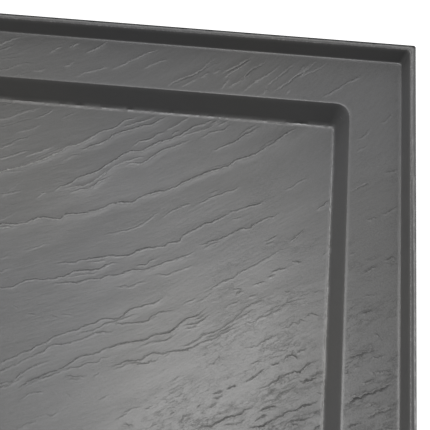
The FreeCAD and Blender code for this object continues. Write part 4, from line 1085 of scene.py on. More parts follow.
@dataclass
class Cleavage:
    """How the slate splits: its clefts' angle over the tray, and seeded clefts outside the photograph."""

    seen_left: float = 182.0
    seen_front: float = -22.0
    half_length: float = 600.0
    half_width: float = 400.0
    start_gaps: tuple = (92.0, 17.0)
    start_shake: tuple = (46.0, 9.0)
    step: float = 6.0
    longest: int = 46
    seed: int = 20

    def angle(self, x: np.ndarray, y: np.ndarray) -> np.ndarray:
        """The local angle of the clefts.

        It climbs from 20 degrees at the left of the photograph to 33 in its middle and 55 near the back right
        corner, as in the photograph, and swings by 11 degrees about 24 over the rest of the tray.

        Args:
            x: places in millimetres.
            y: places in millimetres.

        Returns:
            Degrees from +X.
        """
        right = smooth(x, 220.0, 400.0)
        back = smooth(y, 180.0, 330.0) * smooth(x, 240.0, 420.0)
        rest = 1.0 - smooth(x, 60.0, self.seen_left) * smooth(y, -160.0, self.seen_front)
        return 20.0 + 13.0 * right + 22.0 * back + rest * (4.0 + 11.0 * np.sin(x / 190.0 + y / 130.0 + 0.6))

    def outside(self, x: np.ndarray, y: np.ndarray) -> np.ndarray:
        """1 where the photograph doesn't reach, falling to 0 over 14 mm at its border."""
        inside = smooth(x, self.seen_left - 8.0, self.seen_left + 6.0)
        return 1.0 - inside * smooth(y, self.seen_front - 8.0, self.seen_front + 6.0)

    def walk(self, start: np.ndarray, heading: float, count: int, rng: np.random.Generator) -> np.ndarray:
        """Steps along the cleavage from many places at once, with a slow wander to each side.

        Args:
            start: places in millimetres, as (paths, 2).
            heading: 1 steps to the right and -1 to the left.
            count: how many steps.
            rng: the seeded source of the wander.

        Returns:
            Paths, as (paths, count + 1, 2).
        """
        path = [start]
        wander = rng.normal(0.0, 6.0, len(start))
        for _ in range(count):
            here = path[-1]
            wander = wander * 0.82 + rng.normal(0.0, 6.5, len(start))
            turn = np.radians(self.angle(here[:, 0], here[:, 1]) + wander)
            path.append(here + heading * self.step * np.stack([np.cos(turn), np.sin(turn)], axis=1))
        return np.stack(path, axis=1)

    def seeded(self) -> list[tuple[np.ndarray, float, float]]:
        """Clefts for all that the photograph doesn't show.

        They start on a shaken grid, run along the cleavage and have seeded lengths and strengths. Every third
        has a fainter twin a few millimetres beside it, as clefts in slate often do.

        Returns:
            (path, dark, raised) for each.
        """
        rng = np.random.default_rng(self.seed)
        columns = np.arange(-self.half_length, self.half_length, self.start_gaps[0])
        rows = np.arange(-self.half_width, self.half_width, self.start_gaps[1])
        start = np.stack([part.ravel() for part in np.meshgrid(columns, rows, indexing="ij")], axis=1)
        start = start + rng.uniform(-1.0, 1.0, start.shape) * self.start_shake
        start = start[self.outside(start[:, 0], start[:, 1]) > 0.5]
        twins = start[::3] + rng.uniform(3.0, 7.0, (len(start[::3]), 2)) * (1.0, -1.0)
        start = np.concatenate([start, twins])
        paths = self.walk(start, 1.0, self.longest, rng)
        counts = np.clip(rng.lognormal(2.5, 0.6, len(start)), 5, self.longest).astype(int)
        strength = rng.uniform(0.25, 1.0, len(start)) ** 1.4
        strength[-len(twins):] *= 0.7
        raised = rng.uniform(0.25, 0.9, len(start)) * strength
        return [
            (path[: count + 1], float(dark), float(lift))
            for path, count, dark, lift in zip(paths, counts, strength, raised)
        ]


@dataclass
class CleftMap:
    """Spreads clefts over nine sets so that none is near another of its set, and reads them at points."""

    sets: int = 9
    spacing: float = 11.0
    fade: float = 4.8
    far: float = 8.0
    seed: int = 7
    paths: list = field(default_factory=list)

    @staticmethod
    def curve(knots: np.ndarray, gap: float = 2.6) -> np.ndarray:
        """A smooth line through knots, by cubic pieces whose slopes follow the chord between neighbours.

        Args:
            knots: (count, 2).
            gap: the spacing of its points.

        Returns:
            Points, as (many, 2).
        """
        ends = np.concatenate([[2.0 * knots[0] - knots[1]], knots, [2.0 * knots[-1] - knots[-2]]])
        pieces = []
        for a, b, c, d in zip(ends, ends[1:], ends[2:], ends[3:]):
            t = np.linspace(0.0, 1.0, max(2, int(np.linalg.norm(c - b) / gap) + 1), endpoint=False)[:, None]
            cubic = (2.0 * a - 5.0 * b + 4.0 * c - d) * t**2 + (3.0 * b - a - 3.0 * c + d) * t**3
            pieces.append(0.5 * (2.0 * b + (c - a) * t + cubic))
        return np.concatenate([*pieces, [knots[-1]]])

    def add(self, path: np.ndarray, dark: float, raised: float, outside: bool) -> None:
        """Puts a cleft into the set where its nearest neighbour is farthest away.

        A seeded cleft that would be too near others in every set is left out.

        Args:
            path: its points in millimetres.
            dark: strength of its dark line.
            raised: height of its raised edge.
            outside: True for a seeded cleft, which stays out of the photographed part.
        """
        room = []
        for number in range(self.sets):
            others = [other for other, *_, placed, _ in self.paths if placed == number]
            if not others:
                room = [(1e9, number)]
                break
            there = np.concatenate(others)[::2]
            apart = np.linalg.norm(path[::3, None, :] - there[None, :, :], axis=2).min()
            room.append((float(apart), number))
        apart, number = max(room)
        if outside and apart < self.spacing:
            return
        self.paths.append((path, dark, raised, number, outside))

    def read(self, x: np.ndarray, y: np.ndarray, cleavage: Cleavage) -> dict[str, np.ndarray]:
        """Reads the clefts at points.

        The distance is to the nearest piece of the line, positive below it. The strength tapers to nothing at
        both ends, wanders along the line and falls to nothing at a few millimetres from it. The raised edge
        climbs steeply from the line and falls away gently below it.

        Args:
            x: places in millimetres.
            y: places in millimetres.
            cleavage: tells where the photograph reaches.

        Returns:
            "gap", "crack" and "ridge" as (count, sets), and "height" in millimetres.
        """
        here = np.stack([x, y], axis=1)
        away = cleavage.outside(x, y)
        gap = np.full((len(x), self.sets), self.far)
        crack = np.zeros_like(gap)
        ridge = np.zeros_like(gap)
        height = np.zeros(len(x))
        wander = PlaneNoise(self.seed)
        for path, dark, raised, number, outside in self.paths:
            low = path.min(0) - self.far
            high = path.max(0) + self.far
            near = np.flatnonzero(((here > low) & (here < high)).all(1))
            if not len(near):
                continue
            signed, along, length = self.offset(here[near], path)
            taper = smooth(np.minimum(along, length - along), 0.0, min(0.3 * length, 20.0))
            force = taper * (0.78 + 0.32 * wander.on_line(along / 17.0, number + length))
            force = force * (away[near] if outside else 1.0)
            reach = force * (1.0 - smooth(np.abs(signed), self.fade - 1.4, self.fade))
            lift = smooth(signed, -1.5, 1.1) * (1.0 - smooth(signed, 1.1, 7.5))
            height[near] += 0.3 * raised * force * lift
            closer = np.abs(signed) < np.abs(gap[near, number])
            chosen = near[closer]
            gap[chosen, number] = signed[closer]
            crack[chosen, number] = dark * reach[closer]
            ridge[chosen, number] = raised * reach[closer]
        return {"gap": gap, "crack": crack, "ridge": ridge, "height": height}

    @staticmethod
    def offset(points: np.ndarray, path: np.ndarray) -> tuple[np.ndarray, np.ndarray, float]:
        """The signed distance of points from a line and how far along it they are.

        Each point is dropped on every piece of the line, the nearest foot counts, and the cross product of
        the piece's direction and the point's offset gives the side.

        Args:
            points: (count, 2).
            path: (many, 2).

        Returns:
            Signed distances, places along the line, and its length.
        """
        start = path[:-1]
        step = path[1:] - start
        lengths = np.linalg.norm(step, axis=1)
        before = np.concatenate([[0.0], np.cumsum(lengths)[:-1]])
        best = np.full(len(points), 1e9)
        signed = np.full(len(points), 1e9)
        along = np.zeros(len(points))
        for origin, way, run, passed in zip(start, step, lengths, before):
            offset = points - origin
            share = np.clip(offset @ way / (run * run), 0.0, 1.0)
            foot = offset - share[:, None] * way
            distance = np.hypot(foot[:, 0], foot[:, 1])
            closer = distance < best
            side = np.where(way[0] * offset[:, 1] - way[1] * offset[:, 0] > 0.0, -1.0, 1.0)
            best = np.where(closer, distance, best)
            signed = np.where(closer, distance * side, signed)
            along = np.where(closer, passed + share * run, along)
        return signed, along, float(lengths.sum())


# ---------------------------------------------------------------- the tray


@dataclass
class TrayBody:
    """The cast tray: slate floor, stepped wall, shelf and upstand, and the raw ribbed back below.

    highlight_laps and highlight_places are how far round the floor's outline and how far out on the rim's top
    the painted highlight lies.
    """

    half_length: float = 600.0
    half_width: float = 400.0
    outer_corner: float = 2.5
    rim_level: float = 206.0
    rim_inner: float = 594.5
    rim_corner: float = 4.5
    rim_foot: float = 592.0
    shelf_corner: float = 4.0
    shelf_level: float = 182.0
    basin_reach: float = 537.0
    basin_corner: float = 15.0
    floor_reach: float = 528.0
    floor_corner: float = 5.0
    floor_level: float = 142.0
    drain_level: float = 134.0
    drain_half: float = 65.0
    drain_corner: float = 63.0
    recess_radius: float = 63.0
    recess_level: float = 122.0
    hole_radius: float = 45.0
    hole_end: float = 112.0
    underside: float = 120.0
    edge_round: float = 1.2
    foot_round: float = 1.8
    waste_round: float = 0.7
    sheet_reach: float = 526.5
    sheet_corner: float = 4.0
    middle: float = 80.0
    fine_left: float = 190.0
    fine_front: float = -20.0
    edge_gap: float = 1.0
    wide_gap: float = 4.6
    fine_gap: float = 2.0
    halvings: int = 24
    highlight_laps: tuple = (0.0, 700.0, 1360.0, 1540.0, 1640.0, 1700.0, 1725.0, 2600.0, 3400.0)
    highlight_places: tuple = (596.6, 597.0, 598.8, 597.6, 595.6, 596.0, 596.8, 597.0, 597.0)
    ripples: tuple = ((11, 24.0, 0.16), (12, 36.0, 0.12))
    left_border: float = 6.0
    walk_seed: int = 5
    grain_seed: int = 31
    edge_seed: int = 41
    foot_seed: int = 43
    rim_seed: int = 47
    camera: PhotoCamera = field(default_factory=PhotoCamera)
    cleavage: Cleavage = field(default_factory=Cleavage)

    @property
    def side(self) -> float:
        """How much farther the ends are from the tray's middle than its long edges."""
        return self.half_length - self.half_width

    @property
    def core(self) -> float:
        """How far from the middle the sheet's corners begin."""
        return self.sheet_reach - self.sheet_corner

    def floor_height(self, x: np.ndarray, y: np.ndarray) -> np.ndarray:
        """The fall of the floor to the waste.

        The floor is ruled between the outline at the wall's foot and the one round the waste, so a point's
        height is the wall's less the fall times s, where the rounded rectangle that lies a share s of the way
        between those outlines goes through the point. s is found by halving, on all points at once.

        Args:
            x: places in millimetres.
            y: places in millimetres.

        Returns:
            Heights in millimetres.
        """
        low = np.zeros_like(x)
        high = np.ones_like(x)
        for _ in range(self.halvings):
            s = (low + high) / 2.0
            half_x = self.floor_reach + (self.drain_half - self.floor_reach) * s
            half_y = self.floor_reach - self.side + (self.drain_half - self.floor_reach + self.side) * s
            corner = self.floor_corner + (self.drain_corner - self.floor_corner) * s
            qx = np.abs(x) - half_x + corner
            qy = np.abs(y) - half_y + corner
            beyond = np.hypot(np.maximum(qx, 0.0), np.maximum(qy, 0.0)) + np.minimum(np.maximum(qx, qy), 0.0)
            inside = beyond < corner
            low = np.where(inside, s, low)
            high = np.where(inside, high, s)
        return self.floor_level - (self.floor_level - self.drain_level) * (low + high) / 2.0

    def clefts(self, level: Level) -> CleftMap:
        """Collects the clefts of one level: those read from the photograph, then the seeded ones.

        A line that starts within left_border pixels of the photograph's left goes on along the cleavage.

        Args:
            level: the floor or the shelf.

        Returns:
            The map of them.
        """
        found = CleftMap()
        rng = np.random.default_rng(self.walk_seed)
        for reading in FLOOR_CLEFTS if level is Level.FLOOR else SHELF_CLEFTS:
            cleft = Cleft(*reading)
            pixels = cleft.line()
            if level is Level.FLOOR:
                first = self.camera.on_level(pixels, self.floor_level)
                place = self.camera.on_level(pixels, self.floor_height(first[:, 0], first[:, 1]))
            else:
                place = self.camera.on_level(pixels, self.shelf_level)
            if pixels[0, 0] < self.left_border:
                beyond = self.cleavage.walk(place[:1], -1.0, int(rng.integers(8, 24)), rng)[0]
                place = np.concatenate([beyond[:0:-1], place])
            found.add(found.curve(place), cleft.dark, cleft.raised, False)
        for path, dark, raised in self.cleavage.seeded():
            found.add(path, dark, raised, True)
        log.info("%s: %d clefts", level.value, len(found.paths))
        return found

    def grid(self) -> tuple[np.ndarray, np.ndarray]:
        """The floor's grid lines: close where the photograph looks, wider elsewhere, closest at the edges.

        Returns:
            Places along X and along Y.
        """
        core_y = self.core - self.side
        reach_x = self.sheet_reach
        reach_y = self.sheet_reach - self.side
        edge, wide, fine = self.edge_gap, self.wide_gap, self.fine_gap
        middle = self.middle
        knots_x = (-reach_x, -self.core, -middle, middle, self.fine_left, self.core, reach_x)
        knots_y = (-reach_y, -core_y, -middle, self.fine_front, middle, core_y, reach_y)
        across = lines_between(knots_x, (edge, wide, wide, wide, fine, edge))
        return across, lines_between(knots_y, (edge, wide, wide, fine, fine, edge))

    def outline(self, across: np.ndarray, along: np.ndarray) -> tuple[np.ndarray, np.ndarray]:
        """Rounds the corners of grid points.

        In each corner square the point (a, b) goes to (a sqrt(1 - b^2 / 2), b sqrt(1 - a^2 / 2)), which takes
        the square to a quarter of a disc.

        Args:
            across: x of the grid points.
            along: y of the grid points.

        Returns:
            x and y of the rounded sheet.
        """
        core_y = self.core - self.side
        a = np.maximum(np.abs(across) - self.core, 0.0) / self.sheet_corner
        b = np.maximum(np.abs(along) - core_y, 0.0) / self.sheet_corner
        x = np.minimum(np.abs(across), self.core) + self.sheet_corner * a * np.sqrt(1.0 - b * b / 2.0)
        y = np.minimum(np.abs(along), core_y) + self.sheet_corner * b * np.sqrt(1.0 - a * a / 2.0)
        return np.sign(across) * x, np.sign(along) * y

    @staticmethod
    def frame_loop(numbers: np.ndarray, first: tuple[int, int], last: tuple[int, int]) -> np.ndarray:
        """Point numbers round a block of the grid, anticlockwise from its first corner.

        Args:
            numbers: point numbers of the grid, as (columns, rows).
            first: column and row of the block's lowest corner.
            last: column and row of its highest corner.

        Returns:
            The closed loop without its first point again.
        """
        (i, j), (k, m) = first, last
        sides = (numbers[i:k, j], numbers[k, j:m], numbers[k:i:-1, m], numbers[i, m:j:-1])
        return np.concatenate(sides)

    def waste_rows(self) -> np.ndarray:
        """The profile of the recess and the waste hole, with its three edges rounded.

        Returns:
            Rows of (radius, level).
        """
        fine = self.waste_round
        seat = (self.recess_radius, self.recess_level)
        top = (self.recess_radius, self.drain_level)
        hole = (self.hole_radius, self.recess_level)
        end = (self.hole_radius, self.hole_end)
        return np.concatenate([
            rounded((self.middle, self.drain_level), top, seat, fine, 3),
            rounded(top, seat, hole, fine, 3),
            rounded(seat, hole, end, fine, 3),
            [end],
        ])

    def ripple(self, x: np.ndarray, y: np.ndarray) -> np.ndarray:
        """Broad soft waves of the split stone, long along the cleavage and short across it.

        Args:
            x: places in millimetres.
            y: places in millimetres.

        Returns:
            Heights in millimetres, about a quarter to each side.
        """
        total = np.zeros_like(x)
        for seed, degrees, size in self.ripples:
            c = math.cos(math.radians(degrees))
            s = math.sin(math.radians(degrees))
            u = x * c + y * s
            v = y * c - x * s
            total = total + size * PlaneNoise(seed).at(u / 110.0 + 40.0, v / 15.0 + 40.0)
        return total

    def dress(
        self, piece: bpy.types.Object, found: dict, face: np.ndarray, lie: np.ndarray, tone: np.ndarray
    ) -> None:
        """Lets a slate piece carry its clefts and faces.

        Args:
            piece: the piece.
            found: what the cleft map read at its points.
            face: how much slate, chipped edge with painted glints, and grain each point has, as (count, 3).
            lie: the cleavage's angle, from 0 for the flattest to 1 for the steepest.
            tone: how light the colour is at each point, 1 for the floor, with painted highlights and painted
                shade in it.
        """
        for name in ("gap", "crack", "ridge"):
            for number in CARRIED:
                carry(piece, f"{name}_{number}", found[name][:, 3 * number - 3: 3 * number])
        carry(piece, "face", face)
        carry(piece, "lie", lie)
        carry(piece, "tone", tone)
        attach(piece, "tray")
        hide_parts("tray_shell")

    def lie(self, x: np.ndarray, y: np.ndarray) -> np.ndarray:
        """The cleavage's angle as a share between the finish's first and last angle."""
        return np.clip((self.cleavage.angle(x, y) - LIES[0]) / (LIES[-1] - LIES[0]), 0.0, 1.0)

    def grain(self, x: np.ndarray, y: np.ndarray) -> np.ndarray:
        """How grainy the slate is: most at the floor's right and on the end shelves, little elsewhere.

        Args:
            x: places in millimetres.
            y: places in millimetres.

        Returns:
            0 to 1.
        """
        patches = PlaneNoise(self.grain_seed).at(x / 38.0 + 50.0, y / 30.0 + 50.0)
        right = smooth(x, 330.0, 480.0)
        front = 1.0 - smooth(y, 10.0, 150.0)
        share = 0.12 + right * (0.14 + 0.5 * front) + 0.22 * self.end_shelf(x, y)
        return np.clip(share + (0.12 + 0.14 * right) * patches, 0.0, 1.0)

    def end_shelf(self, x: np.ndarray, y: np.ndarray) -> np.ndarray:
        """1 on the duller shelves at the tray's two ends, falling to 0 towards the back corners."""
        beyond = smooth(np.abs(x), self.basin_reach - 2.0, self.basin_reach + 2.0)
        return beyond * (1.0 - smooth(y, 190.0, 300.0))

    def end_tone(self, x: np.ndarray, y: np.ndarray, reach: np.ndarray) -> np.ndarray:
        """Painted shade over the end shelves, which also makes them duller, and a painted highlight on them
        along the basin's edge.

        Args:
            x: places in millimetres.
            y: places in millimetres.
            reach: how far out each point's ring is.

        Returns:
            What the shelf's tone gains.
        """
        # painted shade over the end shelves, which the material also turns into dullness
        dullness_and_shade = 0.045 + 0.045 * smooth(y, 40.0, 150.0)
        # painted highlight along the basin's edge, strongest at the front
        brink_highlight = 0.17 - 0.12 * smooth(y, 40.0, 200.0)
        band = np.exp(-np.maximum(reach - self.basin_reach, 0.0) / 8.0)
        return (brink_highlight * band - dullness_and_shade) * self.end_shelf(x, y)

    def foot_highlight_and_shade(self, x: np.ndarray, y: np.ndarray) -> np.ndarray:
        """A painted highlight in a broken line along the wall's foot, and a band of painted shade in front of
        it.

        The line is strongest at the back and front, and the band fades over 70 mm.

        Args:
            x: places in millimetres.
            y: places in millimetres.

        Returns:
            What the floor's tone gains.
        """
        ahead = np.abs(y) + self.side
        inwards = self.sheet_reach - np.maximum(np.abs(x), ahead)
        broken = PlaneNoise(self.foot_seed).at((x + y) / 5.0 + 200.0, (x - y) / 5.0 + 200.0)
        sideways = smooth(np.abs(x) - ahead, -3.0, 3.0)
        # painted highlight along the wall's foot, weaker on the ends
        line = (1.0 - smooth(inwards, 0.4, 2.2)) * (0.9 + 0.6 * broken) * (1.0 - 0.55 * sideways)
        # painted shade on the floor in front of the wall's foot
        return line - 0.08 * (1.0 - smooth(inwards, 0.0, 70.0))

    def floor_mesh(self) -> tuple[np.ndarray, np.ndarray, np.ndarray, np.ndarray]:
        """The floor with the recess and the hole of the waste, still smooth.

        A grid covers the floor. The block round the waste is left out, and rings that turn from the block's
        square border into a circle go on into the waste's profile.

        Returns:
            Places as (count, 3), quads, the outer loop's point numbers, and its x and y before its corners
            are rounded.
        """
        columns, rows = self.grid()
        raw_x, raw_y = np.meshgrid(columns, rows, indexing="ij")
        x, y = self.outline(raw_x, raw_y)
        numbers = np.arange(x.size).reshape(x.shape)
        corner = (int(np.argmin(np.abs(columns + self.middle))), int(np.argmin(np.abs(rows + self.middle))))
        other = (int(np.argmin(np.abs(columns - self.middle))), int(np.argmin(np.abs(rows - self.middle))))
        cells = np.ones((len(columns) - 1, len(rows) - 1), bool)
        cells[corner[0]: other[0], corner[1]: other[1]] = False
        around = (numbers[:-1, :-1], numbers[1:, :-1], numbers[1:, 1:], numbers[:-1, 1:])
        quads = np.stack(around, axis=2)[cells]
        border = self.frame_loop(numbers, corner, other)
        plan = np.stack([x.ravel(), y.ravel()], axis=1)
        square = plan[border]
        unit = square / np.linalg.norm(square, axis=1)[:, None]
        profile = self.waste_rows()
        shares = np.linspace(0.0, 1.0, 8)[1:, None, None]
        rings = (1.0 - shares) * square + shares * unit * profile[0, 0]
        wall = profile[1:, 0, None, None] * unit
        flat = np.concatenate([plan, rings.reshape(-1, 2), wall.reshape(-1, 2)])
        level = self.floor_height(flat[:, 0], flat[:, 1])
        level[-wall.shape[0] * len(border):] = np.repeat(profile[1:, 1], len(border))
        loops = [border, *(plan.shape[0] + np.arange(len(flat) - len(plan)).reshape(-1, len(border)))]
        quads = np.concatenate([quads, *(ring_faces(a, b) for a, b in zip(loops, loops[1:]))])
        edge = self.frame_loop(numbers, (0, 0), (len(columns) - 1, len(rows) - 1))
        sharp = np.column_stack([raw_x.ravel()[edge], raw_y.ravel()[edge]])
        return np.column_stack([flat, level]), quads, edge, sharp

    def build_floor(self, material: bpy.types.Material) -> np.ndarray:
        """Builds the slate floor, with its clefts and waves everywhere but at the waste.

        Args:
            material: the slate.

        Returns:
            Its outer loop before the corners are rounded, with its levels, which the surround starts from.
        """
        points, quads, edge, sharp = self.floor_mesh()
        x, y, level = points.T
        found = self.clefts(Level.FLOOR).read(x, y, self.cleavage)
        radius = np.hypot(x, y)
        calm = smooth(radius, self.recess_radius + 3.0, self.recess_radius + 21.0)
        for name in ("crack", "ridge"):
            found[name] = found[name] * calm[:, None]
        level = level + calm * (found["height"] + self.ripple(x, y))
        level = np.minimum(level, self.floor_level + 0.9)
        used = np.unique(quads)
        renumber = np.zeros(len(points), int)
        renumber[used] = np.arange(len(used))
        piece = mesh_object("tray_floor", np.column_stack([x, y, level])[used], renumber[quads])
        slate = smooth(radius, self.recess_radius - 1.0, self.recess_radius + 1.0)
        face = np.stack([slate, np.zeros_like(slate), self.grain(x, y)], axis=1)
        kept = {name: values[used] for name, values in found.items()}
        # the floor's tone takes the painted highlight and painted shade at the wall's foot
        tone = 0.8 + 0.2 * slate + self.foot_highlight_and_shade(x, y)
        self.dress(piece, kept, face[used], self.lie(x, y)[used], tone[used])
        piece.data.materials.append(material)
        log.info("tray_floor: %d faces", len(quads))
        return np.column_stack([sharp, level[edge]])

    def section(self) -> tuple[np.ndarray, np.ndarray]:
        """The tray's section from the floor's edge outwards and down to the skirt's foot.

        The basin wall's foot gets a painted highlight, and the upstand's inner face one that grows towards
        its top, both from their levels.

        Returns:
            Rows of (reach, corner radius, level), and for each row its slate, its worn edge and its tone.
        """
        foot = (self.floor_reach, self.floor_level)
        brink = (self.basin_reach, self.shelf_level)
        rise = (self.rim_foot, self.shelf_level)
        inner = (self.rim_inner, self.rim_level)
        outer = (self.half_length, self.rim_level)
        low = (self.half_length, self.underside)
        # Each arc and run carries slate, chipped edge with painted glints, and tone. The walls and shelf are
        # painted darker than the floor, painted shade that also makes them duller; the rim's top is darker
        # still, and the outer arc is painted shade.
        parts = [
            (rounded((0.0, self.floor_level), foot, brink, self.foot_round, 4), (0.35, 0.3, 1.0)),
            (rounded(foot, brink, rise, self.edge_round, 5), (0.0, 0.2, 0.96)),
            (rounded(brink, rise, inner, self.edge_round, 4), (0.3, 0.2, 0.93)),
            (rounded(rise, inner, outer, self.edge_round, 5), (0.0, 0.6, 0.5)),
            (rounded(inner, outer, low, self.edge_round, 4), (0.0, 0.3, 0.2)),
        ]
        between = (7.0, 2.4, 2.2, 0.7, 9.0)
        looks = ((0.0, 0.0, 0.79), (1.0, 0.0, 0.83), (0.0, 0.0, 0.83), (0.0, 0.3, 0.42), (0.0, 0.0, 0.85))
        points = []
        marks = []
        ends = [part[0][0] for part in parts[1:]] + [np.array(low)]
        for (arc, arc_look), gap, run_look, end in zip(parts, between, looks, ends):
            count = max(2, round(float(np.linalg.norm(end - arc[-1])) / gap) + 1)
            run = arc[-1] + (end - arc[-1]) * np.linspace(0.0, 1.0, count)[1:-1, None]
            points += [arc, run]
            marks += [np.tile(arc_look, (len(arc), 1)), np.tile(run_look, (len(run), 1))]
        profile = np.concatenate([*points, [low]])
        marks = np.concatenate([*marks, [looks[-1]]])
        reach, level = profile.T
        at_foot = reach < self.basin_reach - 5.0
        # painted highlight on the arc at the basin wall's foot
        foot_tone = np.interp(level, (self.floor_level + 0.4, self.floor_level + 2.0), (1.8, 0.79))
        inside = (reach > self.rim_foot + 0.2) & (reach < self.rim_inner + 0.3)
        # painted highlight on the upstand's inner face towards its top
        wall_tone = np.interp(level, (self.rim_level - 6.0, self.rim_level - 0.8), (0.83, 1.5))
        marks[:, 2] = np.where(at_foot, foot_tone, np.where(inside, wall_tone, marks[:, 2]))
        knots = (self.floor_reach, self.basin_reach, self.rim_foot, self.rim_inner, self.half_length)
        corners = (
            self.floor_corner, self.basin_corner, self.shelf_corner, self.rim_corner, self.outer_corner
        )
        rows = np.column_stack([reach, np.interp(reach, knots, corners), level])
        return rows[1:], marks[1:]

    def rim_line(self, reach: np.ndarray, level: np.ndarray, lap: np.ndarray, way: np.ndarray) -> np.ndarray:
        """A painted highlight along the rim's top, and painted shade on the dark outer edge at the back and
        front.

        The line wanders over the rim's width: near the outer edge at the back, and near the inner one on the
        right side's rear half, as in the photograph.

        Args:
            reach: the rings' distances from the middle, as a column.
            level: the rings' heights, as a column.
            lap: how far round the floor's outline each point of a ring is.
            way: each point's direction outwards.

        Returns:
            What the rings' tones gain, as (rings, points).
        """
        on_rim = (level > self.rim_level - 0.7) & (reach > self.rim_inner + 0.1)
        uneven = PlaneNoise(self.rim_seed).on_line(lap / 7.0)
        place = np.interp(lap, self.highlight_laps, self.highlight_places) + 0.4 * uneven
        # painted highlight: a bright line across the rim's top, lighter again on its outer side
        highlight_and_wear = (1.0 + 0.3 * uneven) * np.exp(-(((reach - place) / 0.9) ** 2))
        line = highlight_and_wear + 0.36 * smooth(reach - place, -0.6, 0.7)
        # painted shade along the rim's outer edge at the back and front
        dark = 1.1 * smooth(reach, self.half_length - 2.2, self.half_length - 1.6) * np.abs(way[:, 1])
        return on_rim * np.maximum(line - dark, -0.42)

    def rings(self, start: np.ndarray, rows: np.ndarray) -> tuple[np.ndarray, ...]:
        """The surround's points: the floor's outline, and a rounded rectangle for each row of the section.

        A point of a ring is the start's place in the core, scaled to the ring's core, plus the ring's corner
        radius along the start's own direction. The wall's foot is jagged, and the rim has small bites.

        Args:
            start: the floor's outer loop before its corners are rounded, with its levels.
            rows: reach, corner radius and level of each ring.

        Returns:
            x, y and z of all points ring by ring, and for each point of one ring how far round the outline it
            is and its direction outwards.
        """
        first_x, first_y = self.outline(start[:, 0], start[:, 1])
        core_y = self.core - self.side
        inner_x = np.clip(start[:, 0], -self.core, self.core)
        inner_y = np.clip(start[:, 1], -core_y, core_y)
        way = np.stack([first_x - inner_x, first_y - inner_y], axis=1) / self.sheet_corner
        lap = np.cumsum(np.hypot(np.diff(first_x, append=first_x[0]), np.diff(first_y, append=first_y[0])))
        reach, radius, level = rows[:, 0, None], rows[:, 1, None], rows[:, 2, None]
        jag = PlaneNoise(self.edge_seed)
        near_foot = (level < self.floor_level + 1.4) & (level > self.floor_level - 2.0)
        near_foot = near_foot & (reach < self.basin_reach)
        shift = near_foot * (0.7 * jag.on_line(lap / 2.6) + 0.5 * jag.on_line(lap / 8.0, 9.0) - 0.1)
        rim = smooth(level, self.rim_level - 1.3, self.rim_level - 0.2) * (reach < self.half_length - 1.5)
        bite = rim * np.maximum(0.0, jag.on_line(lap / 3.1, 20.0) - 0.15) * 0.45
        x = inner_x / self.core * (reach - radius) + (radius + shift) * way[:, 0]
        y = inner_y / core_y * (reach - self.side - radius) + (radius + shift) * way[:, 1]
        x = np.concatenate([first_x[None], x]).ravel()
        y = np.concatenate([first_y[None], y]).ravel()
        z = np.concatenate([start[None, :, 2], level - bite]).ravel()
        return x, y, z, lap, way

    def build_surround(self, start: np.ndarray, material: bpy.types.Material) -> None:
        """Builds the stepped wall, the shelf, the upstand and the outer faces as rings round the floor.

        Args:
            start: the floor's outer loop before its corners are rounded, with its levels.
            material: the slate.
        """
        rows, marks = self.section()
        x, y, z, lap, way = self.rings(start, rows)
        count = len(start)
        marks = np.concatenate([[(1.0, 0.0, 1.0)], marks])
        slate = np.repeat(marks[:, 0], count)
        # the second column marks chipped edges and their painted glints
        highlight_and_wear = np.repeat(marks[:, 1], count)
        ring = np.repeat(np.concatenate([[0.0], rows[:, 0]]), count)
        # the rim's painted highlight and painted shade go into the tone
        on_rim = np.concatenate([np.zeros((1, count)), self.rim_line(rows[:, :1], rows[:, 2:], lap, way)])
        tone = (marks[:, 2, None] + on_rim).ravel()
        tone = tone + self.end_tone(x, y, ring) * (slate > 0.9)
        found = self.clefts(Level.SHELF).read(x, y, self.cleavage)
        on_shelf = (np.abs(z - self.shelf_level) < 0.05) & (slate > 0.9)
        calm = on_shelf * smooth(ring, self.basin_reach + 0.9, self.basin_reach + 3.0)
        calm = calm * (1.0 - smooth(ring, self.rim_foot - 3.0, self.rim_foot - 1.0))
        z = z + calm * (found["height"] + self.ripple(x, y))
        for name in ("crack", "ridge"):
            found[name] = found[name] * (slate > 0.9)[:, None]
        loops = np.arange(x.size).reshape(-1, count)
        quads = np.concatenate([ring_faces(outer, inner) for inner, outer in zip(loops, loops[1:])])
        piece = mesh_object("tray_surround", np.column_stack([x, y, z]), quads)
        face = np.stack([slate, highlight_and_wear, self.grain(x, y)], axis=1)
        self.dress(piece, found, face, self.lie(x, y), tone)
        piece.data.materials.append(material)
        log.info("tray_surround: %d faces", len(quads))

